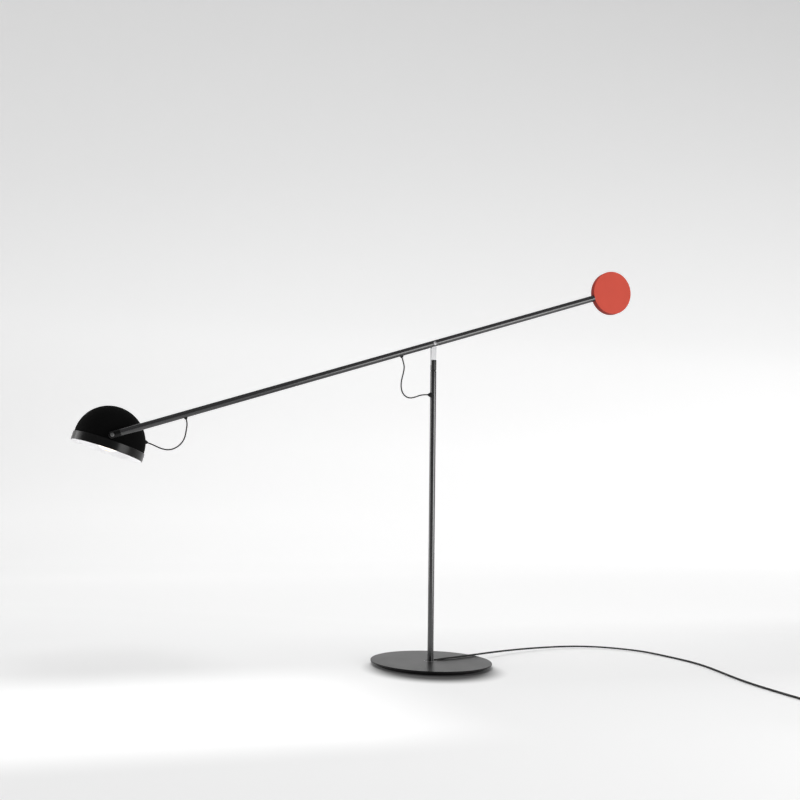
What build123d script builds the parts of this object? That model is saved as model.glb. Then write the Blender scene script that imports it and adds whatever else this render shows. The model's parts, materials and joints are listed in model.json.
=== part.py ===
"""Counterweight balance desk lamp.

A slim column stands on a round plate. A long arm tips on a flat tongue at the top of
the column, with a domed head on its low end and a round counterweight on its high end.

Millimetres. The origin is the centre of the base's underside, +Z is up, and the arm
lies in the XZ plane, with the counterweight towards +X and the head towards -X.
"""

import os
from math import acos, atan2, cos, degrees, pi, radians, sin, sqrt, tan

from build123d import *

os.makedirs("parts", exist_ok=True)

# ---------------------------------------------------------------- driving dimensions
# Base
plate_dia = 200.0
plate_top = 8.0
pad_thickness = 1.5
pad_dia = 178.0
plate_edge_height = 2.2
plate_bevel_inset = 8.0
plate_edge_break = 0.5
foot_dia = 21.0
foot_height = 3.8
foot_clearance = 0.15
foot_screw_radius = 1.5
foot_screw_head_radius = 2.75
foot_screw_head_height = 1.6
foot_screw_circle = 7.4
foot_screw_count = 3
foot_screw_grip = 2.2
screw_bore_clearance = 0.1
exit_slope = 6.5
exit_drift = 0.12
exit_relief_length = 3.4

# Column
column_dia = 10.0
column_wall = 1.0
column_top = 491.0
column_gland_drop = 38.8
spigot_height = 18.0
spigot_bore_radius = 1.7

# Swivel at the column's top
neck_gap = 2.0
bush_length = 24.0
bush_flange_height = 1.0
bush_flange_radius = 4.4
spindle_radius = 2.7
running_gap = 0.05
spindle_tail = 5.0
clip_height = 1.0
clip_radius = 3.7
clip_groove_depth = 0.6
clip_gap = 0.2
collar_height = 16.6
collar_socket_depth = 7.0
collar_pin_radius = 1.0
collar_edge_break = 0.4

# Tongue
swivel_height = 46.0
blade_width = 9.0
blade_thickness = 4.4
blade_seat_depth = 8.2
blade_crown = 3.5
blade_shoulder_drop = 1.0

# Arm
arm_dia = 10.8
arm_wall = 0.9
arm_pitch = 17.5
arm_tilt_limit = 40.0
head_reach = 551.0
counterweight_reach = 313.5
arm_slot_side_gap = 0.4
arm_slot_end_gap = 1.0
clevis_half_length = 18.0
knuckle_plug_length = 14.0
knuckle_length = 13.0
end_plug_length = 14.0

# Screws at the two tilting joints
pivot_screw_radius = 2.0
pivot_screw_head_radius = 3.1
pivot_screw_head_height = 2.0
spot_face_clearance = 0.3
hex_socket_flats = 2.5
hex_socket_depth = 1.2
pivot_nut_flats = 5.4
pivot_nut_height = 1.8
pivot_washer_radius = 3.2

# Counterweight
disc_dia = 73.6
disc_thickness = 9.0
disc_edge_radius = 1.0
stud_radius = 2.5
stud_depth_in_disc = 16.0
stud_depth_in_plug = 10.0

# Head, in its own frame: the centre of the dome, with z along its axis
dome_radius = 57.2
dome_skirt = 2.0
dome_wall = 1.2
head_tilt = 17.6
hinge_stand_off = 8.0
head_pivot_rise = 6.9
ring_step = 1.6
ring_wall = 1.6
ring_height = 13.4
ring_lip_width = 3.2
ring_lip_height = 1.8
ring_edge_break = 0.4
tray_thickness = 2.5
tray_side_gap = 0.2
reflector_thickness = 1.0
reflector_side_gap = 0.2
board_radius = 15.0
board_thickness = 1.6
led_side = 3.0
led_height = 0.8
led_count = 6
led_circle = 8.5
lens_radius = 18.0
lens_wall = 1.8
lens_collar_height = 4.0
lens_recess = 0.9
retainer_radius = 21.5
retainer_height = 2.4
tray_screw_radius = 1.5
tray_screw_head_radius = 2.6
tray_screw_circle = 44.0
tray_screw_count = 3
tray_cable_place = 26.0
boss_radius = 4.2
boss_depth = 9.0
spacer_radius = 5.0
hinge_nut_height = 3.0
hinge_nut_flats = 7.0

# Cables
loop_cable_dia = 2.2
inner_cable_dia = 1.6
mains_cable_dia = 3.2
gland_tip_radius = 1.9
arm_gland_radius = 3.0
arm_gland_height = 2.5
column_gland_radius = 4.0
column_gland_reach = 9.2
head_gland_radius = 3.2
head_gland_height = 3.4
head_gland_elevation = 18.4
head_gland_aim = (0.90, -0.30, -0.31)
pivot_loop_place = -60.8
head_loop_setback = 116.0

# Stored coil of the mains cable
coil_pitch = 3.7
coil_middle_radius = 19.2
coil_turns_each_way = 3.25
coil_centre_y = -445.0
floor_gap = 0.3

# Plug-in driver on the end of the mains cable
driver_side = 36.0
driver_length = 38.0
driver_corner = 6.0
driver_edge = 1.6
relief_length = 22.0
relief_root_radius = 4.2
relief_tip_radius = 2.3
pin_radius = 2.0
pin_length = 19.0
pin_spacing = 19.0
lead_gap = 28.0

# ---------------------------------------------------------------- worked-out values
plate_radius = plate_dia / 2
plate_bottom = pad_thickness
foot_radius = foot_dia / 2
foot_bottom = plate_top - foot_height
column_radius = column_dia / 2
column_bore = column_radius - column_wall
collar_bottom = column_top + neck_gap
column_gland_height = column_top - column_gland_drop
pivot_height = column_top + swivel_height
head_loop_place = head_loop_setback - head_reach
collar_top = collar_bottom + collar_height
blade_bottom = collar_top - blade_seat_depth
arm_radius = arm_dia / 2
arm_bore = arm_radius - arm_wall
dome_bore = dome_radius - dome_wall
head_side_offset = dome_radius + hinge_stand_off
ring_radius = dome_radius + ring_step
ring_bore = ring_radius - ring_wall

pitch = radians(arm_pitch)
tilt = radians(head_tilt)


def arm_point(along, side=0.0, up=0.0):
    """A place by its distance along the arm, towards +Y and square to the arm's top."""
    return (along * cos(pitch) - up * sin(pitch), side, pivot_height + along * sin(pitch) + up * cos(pitch))


arm_along = (cos(pitch), 0, sin(pitch))
arm_up = (-sin(pitch), 0, cos(pitch))
head_hinge = arm_point(-head_reach)
dome_centre = (
    head_hinge[0] - head_pivot_rise * sin(tilt),
    head_side_offset,
    head_hinge[2] - head_pivot_rise * cos(tilt),
)
head_x = (cos(tilt), 0, -sin(tilt))
head_up = (sin(tilt), 0, cos(tilt))


def head_point(x, y, z):
    """A place in the head's own frame, given in the lamp's."""
    return tuple(c + x * a + y * b + z * d for c, a, b, d in zip(dome_centre, head_x, (0, 1, 0), head_up))


def arm_section(along):
    """The plane square across the arm at a distance from the pivot."""
    return Plane(origin=arm_point(along), x_dir=(0, 1, 0), z_dir=arm_along)


def head_level(z):
    """The plane square to the head's axis at a height over the dome's rim."""
    return Plane(origin=head_point(0, 0, z), x_dir=head_x, z_dir=head_up)


head_half = Plane(origin=dome_centre, x_dir=head_x, z_dir=(0, -1, 0))
head_axis = Axis(dome_centre, head_up)
front_half = Plane.XZ
lamp_axis = Axis.Z


def across(along, y, up=0.0):
    """The plane that faces +Y, centred on the arm at a distance from the pivot."""
    return Plane(origin=arm_point(along, y, up), x_dir=arm_along, z_dir=(0, 1, 0))


def finish(part, name):
    """Label a finished piece and write it."""
    part.label = name
    export_step(part, f"parts/{name}.step")


# ---------------------------------------------------------------- base
cable_heading = Vector(cos(radians(exit_slope)), exit_drift, sin(radians(exit_slope))).normalized()
cable_exit = Vector(foot_radius + foot_clearance + 0.4, exit_drift * foot_radius, plate_top + 0.3)
relief_back = cable_exit - cable_heading * exit_relief_length
relief_radius = mains_cable_dia / 2 + 0.3

with BuildPart() as base_plate:
    with BuildSketch(front_half):
        with BuildLine():
            Polyline(
                (0, plate_bottom),
                (plate_radius - plate_bevel_inset, plate_bottom),
                (plate_radius, plate_top - plate_edge_height),
                (plate_radius, plate_top - plate_edge_break),
                (plate_radius - plate_edge_break, plate_top),
                (0, plate_top),
                close=True,
            )
        make_face()
    revolve(axis=lamp_axis)
    with BuildSketch(Plane.XY.offset(plate_top)):
        Circle(foot_radius + foot_clearance)
    extrude(amount=-foot_height, mode=Mode.SUBTRACT)
    # The three screws come up from below, with their heads sunk in the plate
    with BuildSketch(Plane.XY.offset(plate_bottom)):
        with PolarLocations(foot_screw_circle, foot_screw_count, start_angle=60):
            Circle(foot_screw_radius + screw_bore_clearance)
    extrude(amount=plate_top, mode=Mode.SUBTRACT)
    with BuildSketch(Plane.XY.offset(plate_bottom)):
        with PolarLocations(foot_screw_circle, foot_screw_count, start_angle=60):
            Circle(foot_screw_head_radius + screw_bore_clearance)
    extrude(amount=foot_screw_head_height, mode=Mode.SUBTRACT)
    # A shallow ramp lets the cable rise out of the foot onto the plate
    with BuildSketch(Plane(origin=relief_back, z_dir=cable_heading)):
        Circle(relief_radius)
    extrude(amount=26.0, mode=Mode.SUBTRACT)
finish(base_plate.part, "base_plate")

with BuildPart() as base_pad:
    with BuildSketch(Plane.XY):
        Circle(pad_dia / 2)
    extrude(amount=pad_thickness)
    fillet(base_pad.edges().group_by(Axis.Z)[0], radius=pad_thickness / 3)
finish(base_pad.part, "base_pad")

with BuildPart() as column_foot:
    with BuildSketch(Plane.XY.offset(foot_bottom)):
        Circle(foot_radius)
    extrude(amount=foot_height)
    chamfer(column_foot.edges().group_by(Axis.Z)[-1], length=0.3)
    with BuildSketch(Plane.XY.offset(plate_top)):
        Circle(column_bore)
    extrude(amount=spigot_height)
    with BuildSketch(Plane.XY.offset(plate_top - 1.4)):
        Circle(spigot_bore_radius)
    extrude(amount=spigot_height + 1.4, mode=Mode.SUBTRACT)
    with BuildSketch(Plane.XY.offset(foot_bottom)):
        with PolarLocations(foot_screw_circle, foot_screw_count, start_angle=60):
            Circle(foot_screw_radius)
    extrude(amount=foot_screw_grip, mode=Mode.SUBTRACT)
    # Passage for the cable, from the middle of the foot to a notch in its rim
    with BuildSketch(Plane.XY.offset(foot_bottom + 1.0)):
        with Locations((relief_back.X / 2, relief_back.Y / 2)):
            Rectangle(relief_back.X + 0.6, 2.4)
    extrude(amount=plate_top - 0.8 - foot_bottom - 1.0, mode=Mode.SUBTRACT)
    with BuildSketch(Plane(origin=relief_back, z_dir=cable_heading)):
        Circle(relief_radius)
    extrude(amount=2 * exit_relief_length, mode=Mode.SUBTRACT)
finish(column_foot.part, "column_foot")

with BuildPart() as foot_screws:
    with BuildSketch(Plane.XY.offset(plate_bottom)):
        with PolarLocations(foot_screw_circle, foot_screw_count, start_angle=60):
            Circle(foot_screw_head_radius)
            RegularPolygon(1.25, 6, mode=Mode.SUBTRACT)
    extrude(amount=foot_screw_head_height)
    with BuildSketch(Plane.XY.offset(plate_bottom + 0.9)):
        with PolarLocations(foot_screw_circle, foot_screw_count, start_angle=60):
            Circle(foot_screw_radius)
    extrude(amount=foot_bottom + foot_screw_grip - plate_bottom - 0.9)
finish(foot_screws.part, "foot_screws")

# ---------------------------------------------------------------- column
with BuildPart() as column_tube:
    with BuildSketch(Plane.XY.offset(plate_top)):
        Circle(column_radius)
        Circle(column_bore, mode=Mode.SUBTRACT)
    extrude(amount=column_top - plate_top)
    with BuildSketch(Plane(origin=(0, 0, column_gland_height), z_dir=(-1, 0, 0))):
        Circle(gland_tip_radius)
    extrude(amount=column_dia, mode=Mode.SUBTRACT)
finish(column_tube.part, "column_tube")

with BuildPart() as column_gland:
    with BuildSketch(Plane(origin=(0, 0, column_gland_height), x_dir=(1, 0, 0), z_dir=(0, -1, 0))):
        with BuildLine():
            Polyline(
                (-column_gland_reach, 0),
                (-column_gland_reach, gland_tip_radius - 0.3),
                (-column_gland_reach + 0.5, gland_tip_radius),
                (-column_radius - 0.4, column_gland_radius),
                (-column_radius + 1.0, column_gland_radius),
                (-column_radius + 1.0, 0),
                close=True,
            )
        make_face()
    revolve(axis=Axis((0, 0, column_gland_height), (1, 0, 0)))
    # Saddle that fits round the column, then the spigot through its wall
    with BuildSketch(Plane.XY.offset(column_gland_height - 2 * column_gland_radius)):
        Circle(column_radius)
    extrude(amount=4 * column_gland_radius, mode=Mode.SUBTRACT)
    with BuildSketch(Plane(origin=(-column_radius - 0.6, 0, column_gland_height), z_dir=(1, 0, 0))):
        Circle(gland_tip_radius)
    extrude(amount=column_wall + 1.2)
finish(column_gland.part, "column_gland")


def fillet_radii(points, share=0.45):
    """The largest even bend at each corner of a route, from its two runs and its turn."""
    radii = []
    for before, corner, after in zip(points, points[1:], points[2:]):
        first = Vector(*corner) - Vector(*before)
        second = Vector(*after) - Vector(*corner)
        turn = radians(first.get_angle(second))
        radii.append(share * min(first.length, second.length) / tan(turn / 2))
    return radii


def cable(points, diameter, radii=None):
    """A round tube along straight runs joined by tangent arcs."""
    bends = radii or fillet_radii(points)
    with BuildPart() as tube:
        with BuildLine() as route:
            FilletPolyline(*points, radius=bends)
        start = Vector(*points[1]) - Vector(*points[0])
        with BuildSketch(Plane(origin=points[0], z_dir=start)):
            Circle(diameter / 2)
        sweep()
    length = route.wires()[0].length
    expected = pi * diameter**2 / 4 * length
    print(f"  cable {length:.1f} mm long, least bend {min(bends):.1f} mm,", end=" ")
    print(f"radii {[round(bend, 1) for bend in bends]},", end=" ")
    print(f"volume over section times length {tube.part.volume / expected:.4f}")
    return tube.part


column_cable_radius = 4.0
column_cable_side = 0.8
finish(
    cable(
        [
            (-column_radius + column_wall + 0.6, 0, column_gland_height),
            (column_cable_side, 0, column_gland_height),
            (column_cable_side, 0, plate_top + 0.1),
        ],
        inner_cable_dia,
        [column_cable_radius],
    ),
    "column_cable",
)

# ---------------------------------------------------------------- swivel
bush_top = column_top + bush_flange_height
with BuildPart() as column_bush:
    with BuildSketch(Plane.XY.offset(column_top - bush_length)):
        Circle(column_bore)
    extrude(amount=bush_length)
    with BuildSketch(Plane.XY.offset(column_top)):
        Circle(bush_flange_radius)
    extrude(amount=bush_flange_height)
    with BuildSketch(Plane.XY.offset(column_top - bush_length)):
        Circle(spindle_radius + running_gap)
    extrude(amount=bush_length + bush_flange_height, mode=Mode.SUBTRACT)
finish(column_bush.part, "column_bush")

spindle_bottom = column_top - bush_length - spindle_tail
clip_bottom = column_top - bush_length - clip_gap - clip_height
with BuildPart() as swivel_spindle:
    with BuildSketch(Plane.XY.offset(spindle_bottom)):
        Circle(spindle_radius)
    extrude(amount=collar_bottom + collar_socket_depth - spindle_bottom)
    chamfer(swivel_spindle.edges().group_by(Axis.Z)[0], length=0.5)
    with BuildSketch(Plane.XY.offset(clip_bottom)):
        Circle(spindle_radius + 1)
        Circle(spindle_radius - clip_groove_depth, mode=Mode.SUBTRACT)
    extrude(amount=clip_height, mode=Mode.SUBTRACT)
finish(swivel_spindle.part, "swivel_spindle")

with BuildPart() as spindle_clip:
    with BuildSketch(Plane.XY.offset(clip_bottom)):
        Circle(clip_radius)
        Circle(spindle_radius - clip_groove_depth, mode=Mode.SUBTRACT)
        with Locations((clip_radius, 0)):
            Rectangle(2 * clip_radius, 2.4, mode=Mode.SUBTRACT)
    extrude(amount=clip_height)
finish(spindle_clip.part, "spindle_clip")

with BuildPart() as swivel_washer:
    with BuildSketch(Plane.XY.offset(bush_top)):
        Circle(bush_flange_radius)
        Circle(spindle_radius, mode=Mode.SUBTRACT)
    extrude(amount=collar_bottom - bush_top)
finish(swivel_washer.part, "swivel_washer")

pin_height = collar_top - blade_seat_depth / 2
with BuildPart() as swivel_collar:
    with BuildSketch(Plane.XY.offset(collar_bottom)):
        Circle(column_radius)
    extrude(amount=collar_height)
    chamfer(swivel_collar.edges().group_by(Axis.Z)[-1], length=collar_edge_break)
    chamfer(swivel_collar.edges().group_by(Axis.Z)[0], length=collar_edge_break)
    with BuildSketch(Plane.XY.offset(collar_bottom)):
        Circle(spindle_radius)
    extrude(amount=collar_socket_depth, mode=Mode.SUBTRACT)
    with BuildSketch(Plane.XY.offset(blade_bottom)):
        Rectangle(2 * column_radius + 2, blade_thickness)
    extrude(amount=blade_seat_depth + 1, mode=Mode.SUBTRACT)
    with BuildSketch(Plane.XZ.offset(-2 * column_radius)):
        with Locations((0, pin_height)):
            Circle(collar_pin_radius)
    extrude(amount=4 * column_radius, mode=Mode.SUBTRACT)
finish(swivel_collar.part, "swivel_collar")

with BuildPart() as tongue_blade:
    with BuildSketch(Plane.XZ.offset(-blade_thickness / 2)):
        half = blade_width / 2
        shoulder = pivot_height - blade_shoulder_drop
        with BuildLine():
            Line((-half, shoulder), (-half, blade_bottom))
            Line((-half, blade_bottom), (half, blade_bottom))
            Line((half, blade_bottom), (half, shoulder))
            ThreePointArc((half, shoulder), (0, pivot_height + blade_crown), (-half, shoulder))
        make_face()
        with Locations((0, pivot_height)):
            Circle(pivot_screw_radius + running_gap, mode=Mode.SUBTRACT)
        with Locations((0, pin_height)):
            Circle(collar_pin_radius, mode=Mode.SUBTRACT)
    extrude(amount=blade_thickness)
finish(tongue_blade.part, "tongue_blade")

with BuildPart() as collar_pin:
    with BuildSketch(Plane.XZ.offset(-column_radius + 0.3)):
        with Locations((0, pin_height)):
            Circle(collar_pin_radius)
    extrude(amount=2 * column_radius - 0.6)
finish(collar_pin.part, "collar_pin")

# ---------------------------------------------------------------- arm
limit = radians(arm_tilt_limit)
slot_half_length = arm_radius * tan(limit) + blade_width / 2 / cos(limit) + arm_slot_end_gap
slot_width = blade_thickness + 2 * arm_slot_side_gap
spot_radius = pivot_screw_head_radius + spot_face_clearance
spot_depth = arm_radius - sqrt(arm_radius**2 - spot_radius**2)
spot_face = arm_radius - spot_depth
tube_start = -head_reach + knuckle_length
gland_hole_radius = gland_tip_radius

with BuildPart() as arm_tube:
    with BuildSketch(arm_section(tube_start)):
        Circle(arm_radius)
        Circle(arm_bore, mode=Mode.SUBTRACT)
    extrude(amount=counterweight_reach - tube_start)
    # Slot in the underside for the tongue
    with BuildSketch(Plane(origin=arm_point(0, 0, -arm_radius - 1), x_dir=arm_along, z_dir=arm_up)):
        SlotOverall(2 * slot_half_length, slot_width)
    extrude(amount=arm_radius + 1, mode=Mode.SUBTRACT)
    # Cross bore, and flats for the screw's head and nut
    with BuildSketch(across(0, -2 * arm_radius)):
        Circle(pivot_screw_radius)
    extrude(amount=4 * arm_radius, mode=Mode.SUBTRACT)
    with BuildSketch(across(0, -2 * arm_radius)):
        Circle(spot_radius)
    extrude(amount=2 * arm_radius - spot_face, mode=Mode.SUBTRACT)
    with BuildSketch(across(0, spot_face)):
        Circle(spot_radius)
    extrude(amount=arm_radius, mode=Mode.SUBTRACT)
    # Holes for the two cable glands
    for place in (pivot_loop_place, head_loop_place):
        with BuildSketch(Plane(origin=arm_point(place), x_dir=arm_along, z_dir=tuple(-c for c in arm_up))):
            Circle(gland_hole_radius)
        extrude(amount=2 * arm_radius, mode=Mode.SUBTRACT)
finish(arm_tube.part, "arm_tube")

# Solid insert in the tube that carries the pivot's screw and guides the tongue
with BuildPart() as arm_clevis:
    with BuildSketch(arm_section(-clevis_half_length)):
        Circle(arm_bore)
    extrude(amount=2 * clevis_half_length)
    with BuildSketch(Plane(origin=arm_point(0, 0, -2 * arm_radius), x_dir=arm_along, z_dir=arm_up)):
        SlotOverall(2 * slot_half_length, slot_width)
    extrude(amount=4 * arm_radius, mode=Mode.SUBTRACT)
    with BuildSketch(across(0, -2 * arm_radius)):
        Circle(pivot_screw_radius)
    extrude(amount=4 * arm_radius, mode=Mode.SUBTRACT)
    with BuildSketch(across(0, -2 * arm_radius)):
        Circle(spot_radius)
    extrude(amount=2 * arm_radius - spot_face, mode=Mode.SUBTRACT)
    with BuildSketch(across(0, spot_face)):
        Circle(spot_radius)
    extrude(amount=arm_radius, mode=Mode.SUBTRACT)
finish(arm_clevis.part, "arm_clevis")

with BuildPart() as arm_knuckle:
    with BuildSketch(arm_section(-head_reach)):
        Circle(arm_radius)
    extrude(amount=knuckle_length)
    with BuildSketch(arm_section(-head_reach - arm_radius)):
        Circle(arm_radius)
    extrude(amount=arm_radius)
    with BuildSketch(arm_section(tube_start)):
        Circle(arm_bore)
    extrude(amount=knuckle_plug_length)
    # Round the end about the hinge
    with BuildSketch(across(-head_reach, -2 * arm_radius)):
        with Locations((-arm_radius, 0)):
            Rectangle(2 * arm_radius, 4 * arm_radius)
        Circle(arm_radius, mode=Mode.SUBTRACT)
        with Locations((arm_radius, 0)):
            Rectangle(2 * arm_radius, 4 * arm_radius, mode=Mode.SUBTRACT)
    extrude(amount=4 * arm_radius, mode=Mode.SUBTRACT)
    with BuildSketch(across(-head_reach, -2 * arm_radius)):
        Circle(pivot_screw_radius + running_gap)
    extrude(amount=4 * arm_radius, mode=Mode.SUBTRACT)
    with BuildSketch(across(-head_reach, -2 * arm_radius)):
        Circle(spot_radius)
    extrude(amount=2 * arm_radius - spot_face, mode=Mode.SUBTRACT)
    # Flat on the inner side that the spacer turns against
    with BuildSketch(across(-head_reach, spot_face)):
        Circle(spacer_radius + spot_face_clearance)
    extrude(amount=arm_radius, mode=Mode.SUBTRACT)
finish(arm_knuckle.part, "arm_knuckle")

with BuildPart() as arm_end_plug:
    with BuildSketch(arm_section(counterweight_reach - end_plug_length)):
        Circle(arm_bore)
        Circle(stud_radius, mode=Mode.SUBTRACT)
    extrude(amount=end_plug_length)
finish(arm_end_plug.part, "arm_end_plug")


def button_screw(plane, reach, centre):
    """A button-head screw with a hex socket; its head's seat lies in the plane."""
    with BuildPart() as screw:
        with BuildSketch(plane):
            Circle(pivot_screw_head_radius)
        extrude(amount=-pivot_screw_head_height)
        rim = screw.edges().filter_by(GeomType.CIRCLE).sort_by_distance(Vector(*centre))[0]
        fillet(rim, radius=pivot_screw_head_height * 0.7)
        with BuildSketch(plane.offset(-pivot_screw_head_height)):
            RegularPolygon(hex_socket_flats / 2, 6, major_radius=False)
        extrude(amount=hex_socket_depth, mode=Mode.SUBTRACT)
        with BuildSketch(plane):
            Circle(pivot_screw_radius)
        extrude(amount=reach)
    return screw.part


pivot_screw_reach = 2 * spot_face + pivot_nut_height
finish(
    button_screw(across(0, -spot_face), pivot_screw_reach, arm_point(0, -4 * arm_radius)),
    "pivot_screw",
)

with BuildPart() as pivot_nut:
    with BuildSketch(across(0, spot_face)):
        RegularPolygon(pivot_nut_flats / 2, 6, major_radius=False)
        Circle(pivot_screw_radius, mode=Mode.SUBTRACT)
    extrude(amount=pivot_nut_height)
finish(pivot_nut.part, "pivot_nut")

# Two thin friction washers fill the room between the tongue and the insert's cheeks
washer_outer = slot_width / 2
washer_inner = blade_thickness / 2
with BuildPart() as pivot_washers:
    for start in (-washer_outer, washer_inner):
        with BuildSketch(across(0, start)):
            Circle(pivot_washer_radius)
            Circle(pivot_screw_radius, mode=Mode.SUBTRACT)
        extrude(amount=washer_outer - washer_inner)
finish(pivot_washers.part, "pivot_washers")


def arm_gland(place):
    """A low rubber cone on the arm's underside, with a spigot through the wall."""
    down = tuple(-c for c in arm_up)
    with BuildPart() as gland:
        with BuildSketch(Plane(origin=arm_point(place), x_dir=arm_along, z_dir=(0, -1, 0))):
            with BuildLine():
                Polyline(
                    (0, -arm_radius + 1.0),
                    (arm_gland_radius, -arm_radius + 1.0),
                    (arm_gland_radius, -arm_radius - 0.3),
                    (gland_tip_radius, -arm_radius - arm_gland_height + 0.3),
                    (gland_tip_radius - 0.3, -arm_radius - arm_gland_height),
                    (0, -arm_radius - arm_gland_height),
                    close=True,
                )
            make_face()
        revolve(axis=Axis(arm_point(place), arm_up))
        with BuildSketch(arm_section(place - 2 * arm_gland_radius)):
            Circle(arm_radius)
        extrude(amount=4 * arm_gland_radius, mode=Mode.SUBTRACT)
        with BuildSketch(Plane(origin=arm_point(place, 0, -arm_bore + 0.2), x_dir=arm_along, z_dir=down)):
            Circle(gland_hole_radius)
        extrude(amount=arm_wall + 0.7)
    return gland.part


finish(arm_gland(pivot_loop_place), "arm_gland_column_end")
finish(arm_gland(head_loop_place), "arm_gland_head_end")

gland_inside = -arm_bore + 0.2
cable_rise = column_cable_radius * 1.2
finish(
    cable(
        [
            arm_point(pivot_loop_place, 0, gland_inside),
            arm_point(pivot_loop_place, 0, gland_inside + cable_rise),
            arm_point(head_loop_place, 0, gland_inside + cable_rise),
            arm_point(head_loop_place, 0, gland_inside),
        ],
        inner_cable_dia,
        [column_cable_radius, column_cable_radius],
    ),
    "arm_cable",
)

# ---------------------------------------------------------------- counterweight
disc_radius = disc_dia / 2
disc_place = counterweight_reach + disc_radius
with BuildPart() as counterweight_disc:
    with BuildSketch(across(disc_place, -disc_thickness / 2)):
        Circle(disc_radius)
    extrude(amount=disc_thickness)
    fillet(counterweight_disc.edges().filter_by(GeomType.CIRCLE), radius=disc_edge_radius)
    with BuildSketch(arm_section(counterweight_reach - 2)):
        Circle(stud_radius)
    extrude(amount=stud_depth_in_disc + 2, mode=Mode.SUBTRACT)
    # Seat of the arm's end, a shallow flat in the rim
    with BuildSketch(arm_section(counterweight_reach - 2)):
        Circle(arm_radius + 0.05)
    extrude(amount=2.4, mode=Mode.SUBTRACT)
finish(counterweight_disc.part, "counterweight_disc")

with BuildPart() as counterweight_stud:
    with BuildSketch(arm_section(counterweight_reach - stud_depth_in_plug)):
        Circle(stud_radius)
    extrude(amount=stud_depth_in_plug + stud_depth_in_disc)
finish(counterweight_stud.part, "counterweight_stud")

# ---------------------------------------------------------------- head
hinge_wall = sqrt(dome_radius**2 - (head_pivot_rise - dome_skirt) ** 2)
hinge_side = Plane(origin=head_point(0, -hinge_wall, head_pivot_rise), x_dir=head_x, z_dir=(0, 1, 0))
gland_out = radians(head_gland_elevation)
gland_seat = head_point(dome_radius * cos(gland_out), 0, dome_skirt + dome_radius * sin(gland_out))
gland_heading = Vector(*head_gland_aim).normalized()


def gland_place(reach):
    """A place on the slanted head gland's axis, by its distance out from the dome's surface."""
    return tuple(c + reach * d for c, d in zip(gland_seat, gland_heading))


boss_face = head_side_offset - spot_face - hinge_wall
with BuildPart() as head_dome:
    with BuildSketch(head_half):
        with BuildLine():
            Line((dome_bore, 0), (dome_radius, 0))
            Line((dome_radius, 0), (dome_radius, dome_skirt))
            CenterArc((0, dome_skirt), dome_radius, 0, 90)
            Line((0, dome_skirt + dome_radius), (0, dome_skirt + dome_bore))
            CenterArc((0, dome_skirt), dome_bore, 0, 90)
            Line((dome_bore, dome_skirt), (dome_bore, 0))
        make_face()
    revolve(axis=head_axis)
    with BuildSketch(hinge_side.offset(-4)):
        Circle(pivot_screw_radius)
    extrude(amount=12, mode=Mode.SUBTRACT)
    with BuildSketch(Plane(origin=gland_place(-4), z_dir=gland_heading)):
        Circle(gland_tip_radius)
    extrude(amount=8, mode=Mode.SUBTRACT)
finish(head_dome.part, "head_dome")

# Spacer between the arm's knuckle and the dome, hollowed to the dome's curve
with BuildPart() as hinge_spacer:
    with BuildSketch(across(-head_reach, spot_face + 0.05)):
        Circle(spacer_radius)
        Circle(pivot_screw_radius, mode=Mode.SUBTRACT)
    extrude(amount=head_side_offset - hinge_wall - spot_face + 1.5)
    with BuildSketch(head_half):
        with BuildLine():
            CenterArc((0, dome_skirt), dome_radius, -90, 180)
            Line((0, dome_skirt + dome_radius), (0, dome_skirt - dome_radius))
        make_face()
    revolve(axis=head_axis, mode=Mode.SUBTRACT)
finish(hinge_spacer.part, "hinge_spacer")

# Boss inside the dome that the hinge's screw clamps
with BuildPart() as hinge_boss:
    with BuildSketch(hinge_side.offset(-3)):
        Circle(boss_radius)
        Circle(pivot_screw_radius, mode=Mode.SUBTRACT)
    extrude(amount=boss_depth + 3)
    with BuildSketch(head_half):
        with BuildLine():
            CenterArc((0, dome_skirt), dome_bore, -90, 180)
            Line((0, dome_skirt + dome_bore), (0, dome_skirt - dome_bore))
        make_face()
    revolve(axis=head_axis, mode=Mode.INTERSECT)
finish(hinge_boss.part, "hinge_boss")

boss_end = head_side_offset - hinge_wall + boss_depth
finish(
    button_screw(
        across(-head_reach, -spot_face),
        spot_face + boss_end + hinge_nut_height,
        arm_point(-head_reach, -4 * arm_radius),
    ),
    "hinge_screw",
)

with BuildPart() as hinge_nut:
    with BuildSketch(across(-head_reach, boss_end)):
        RegularPolygon(hinge_nut_flats / 2, 6, major_radius=False)
        Circle(pivot_screw_radius, mode=Mode.SUBTRACT)
    extrude(amount=hinge_nut_height)
finish(hinge_nut.part, "hinge_nut")

with BuildPart() as head_ring:
    with BuildSketch(head_half):
        with BuildLine():
            Polyline(
                (ring_bore - ring_lip_width, 0),
                (ring_radius - ring_edge_break, 0),
                (ring_radius, -ring_edge_break),
                (ring_radius, -ring_height + ring_edge_break),
                (ring_radius - ring_edge_break, -ring_height),
                (ring_bore, -ring_height),
                (ring_bore, -ring_lip_height),
                (ring_bore - ring_lip_width, -ring_lip_height),
                close=True,
            )
        make_face()
    revolve(axis=head_axis)
    with BuildSketch(head_level(-ring_lip_height - 1)):
        with PolarLocations(ring_bore - ring_lip_width / 2, tray_screw_count, start_angle=90):
            Circle(tray_screw_radius / 2)
    extrude(amount=ring_lip_height + 1, mode=Mode.SUBTRACT)
finish(head_ring.part, "head_ring")

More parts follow.
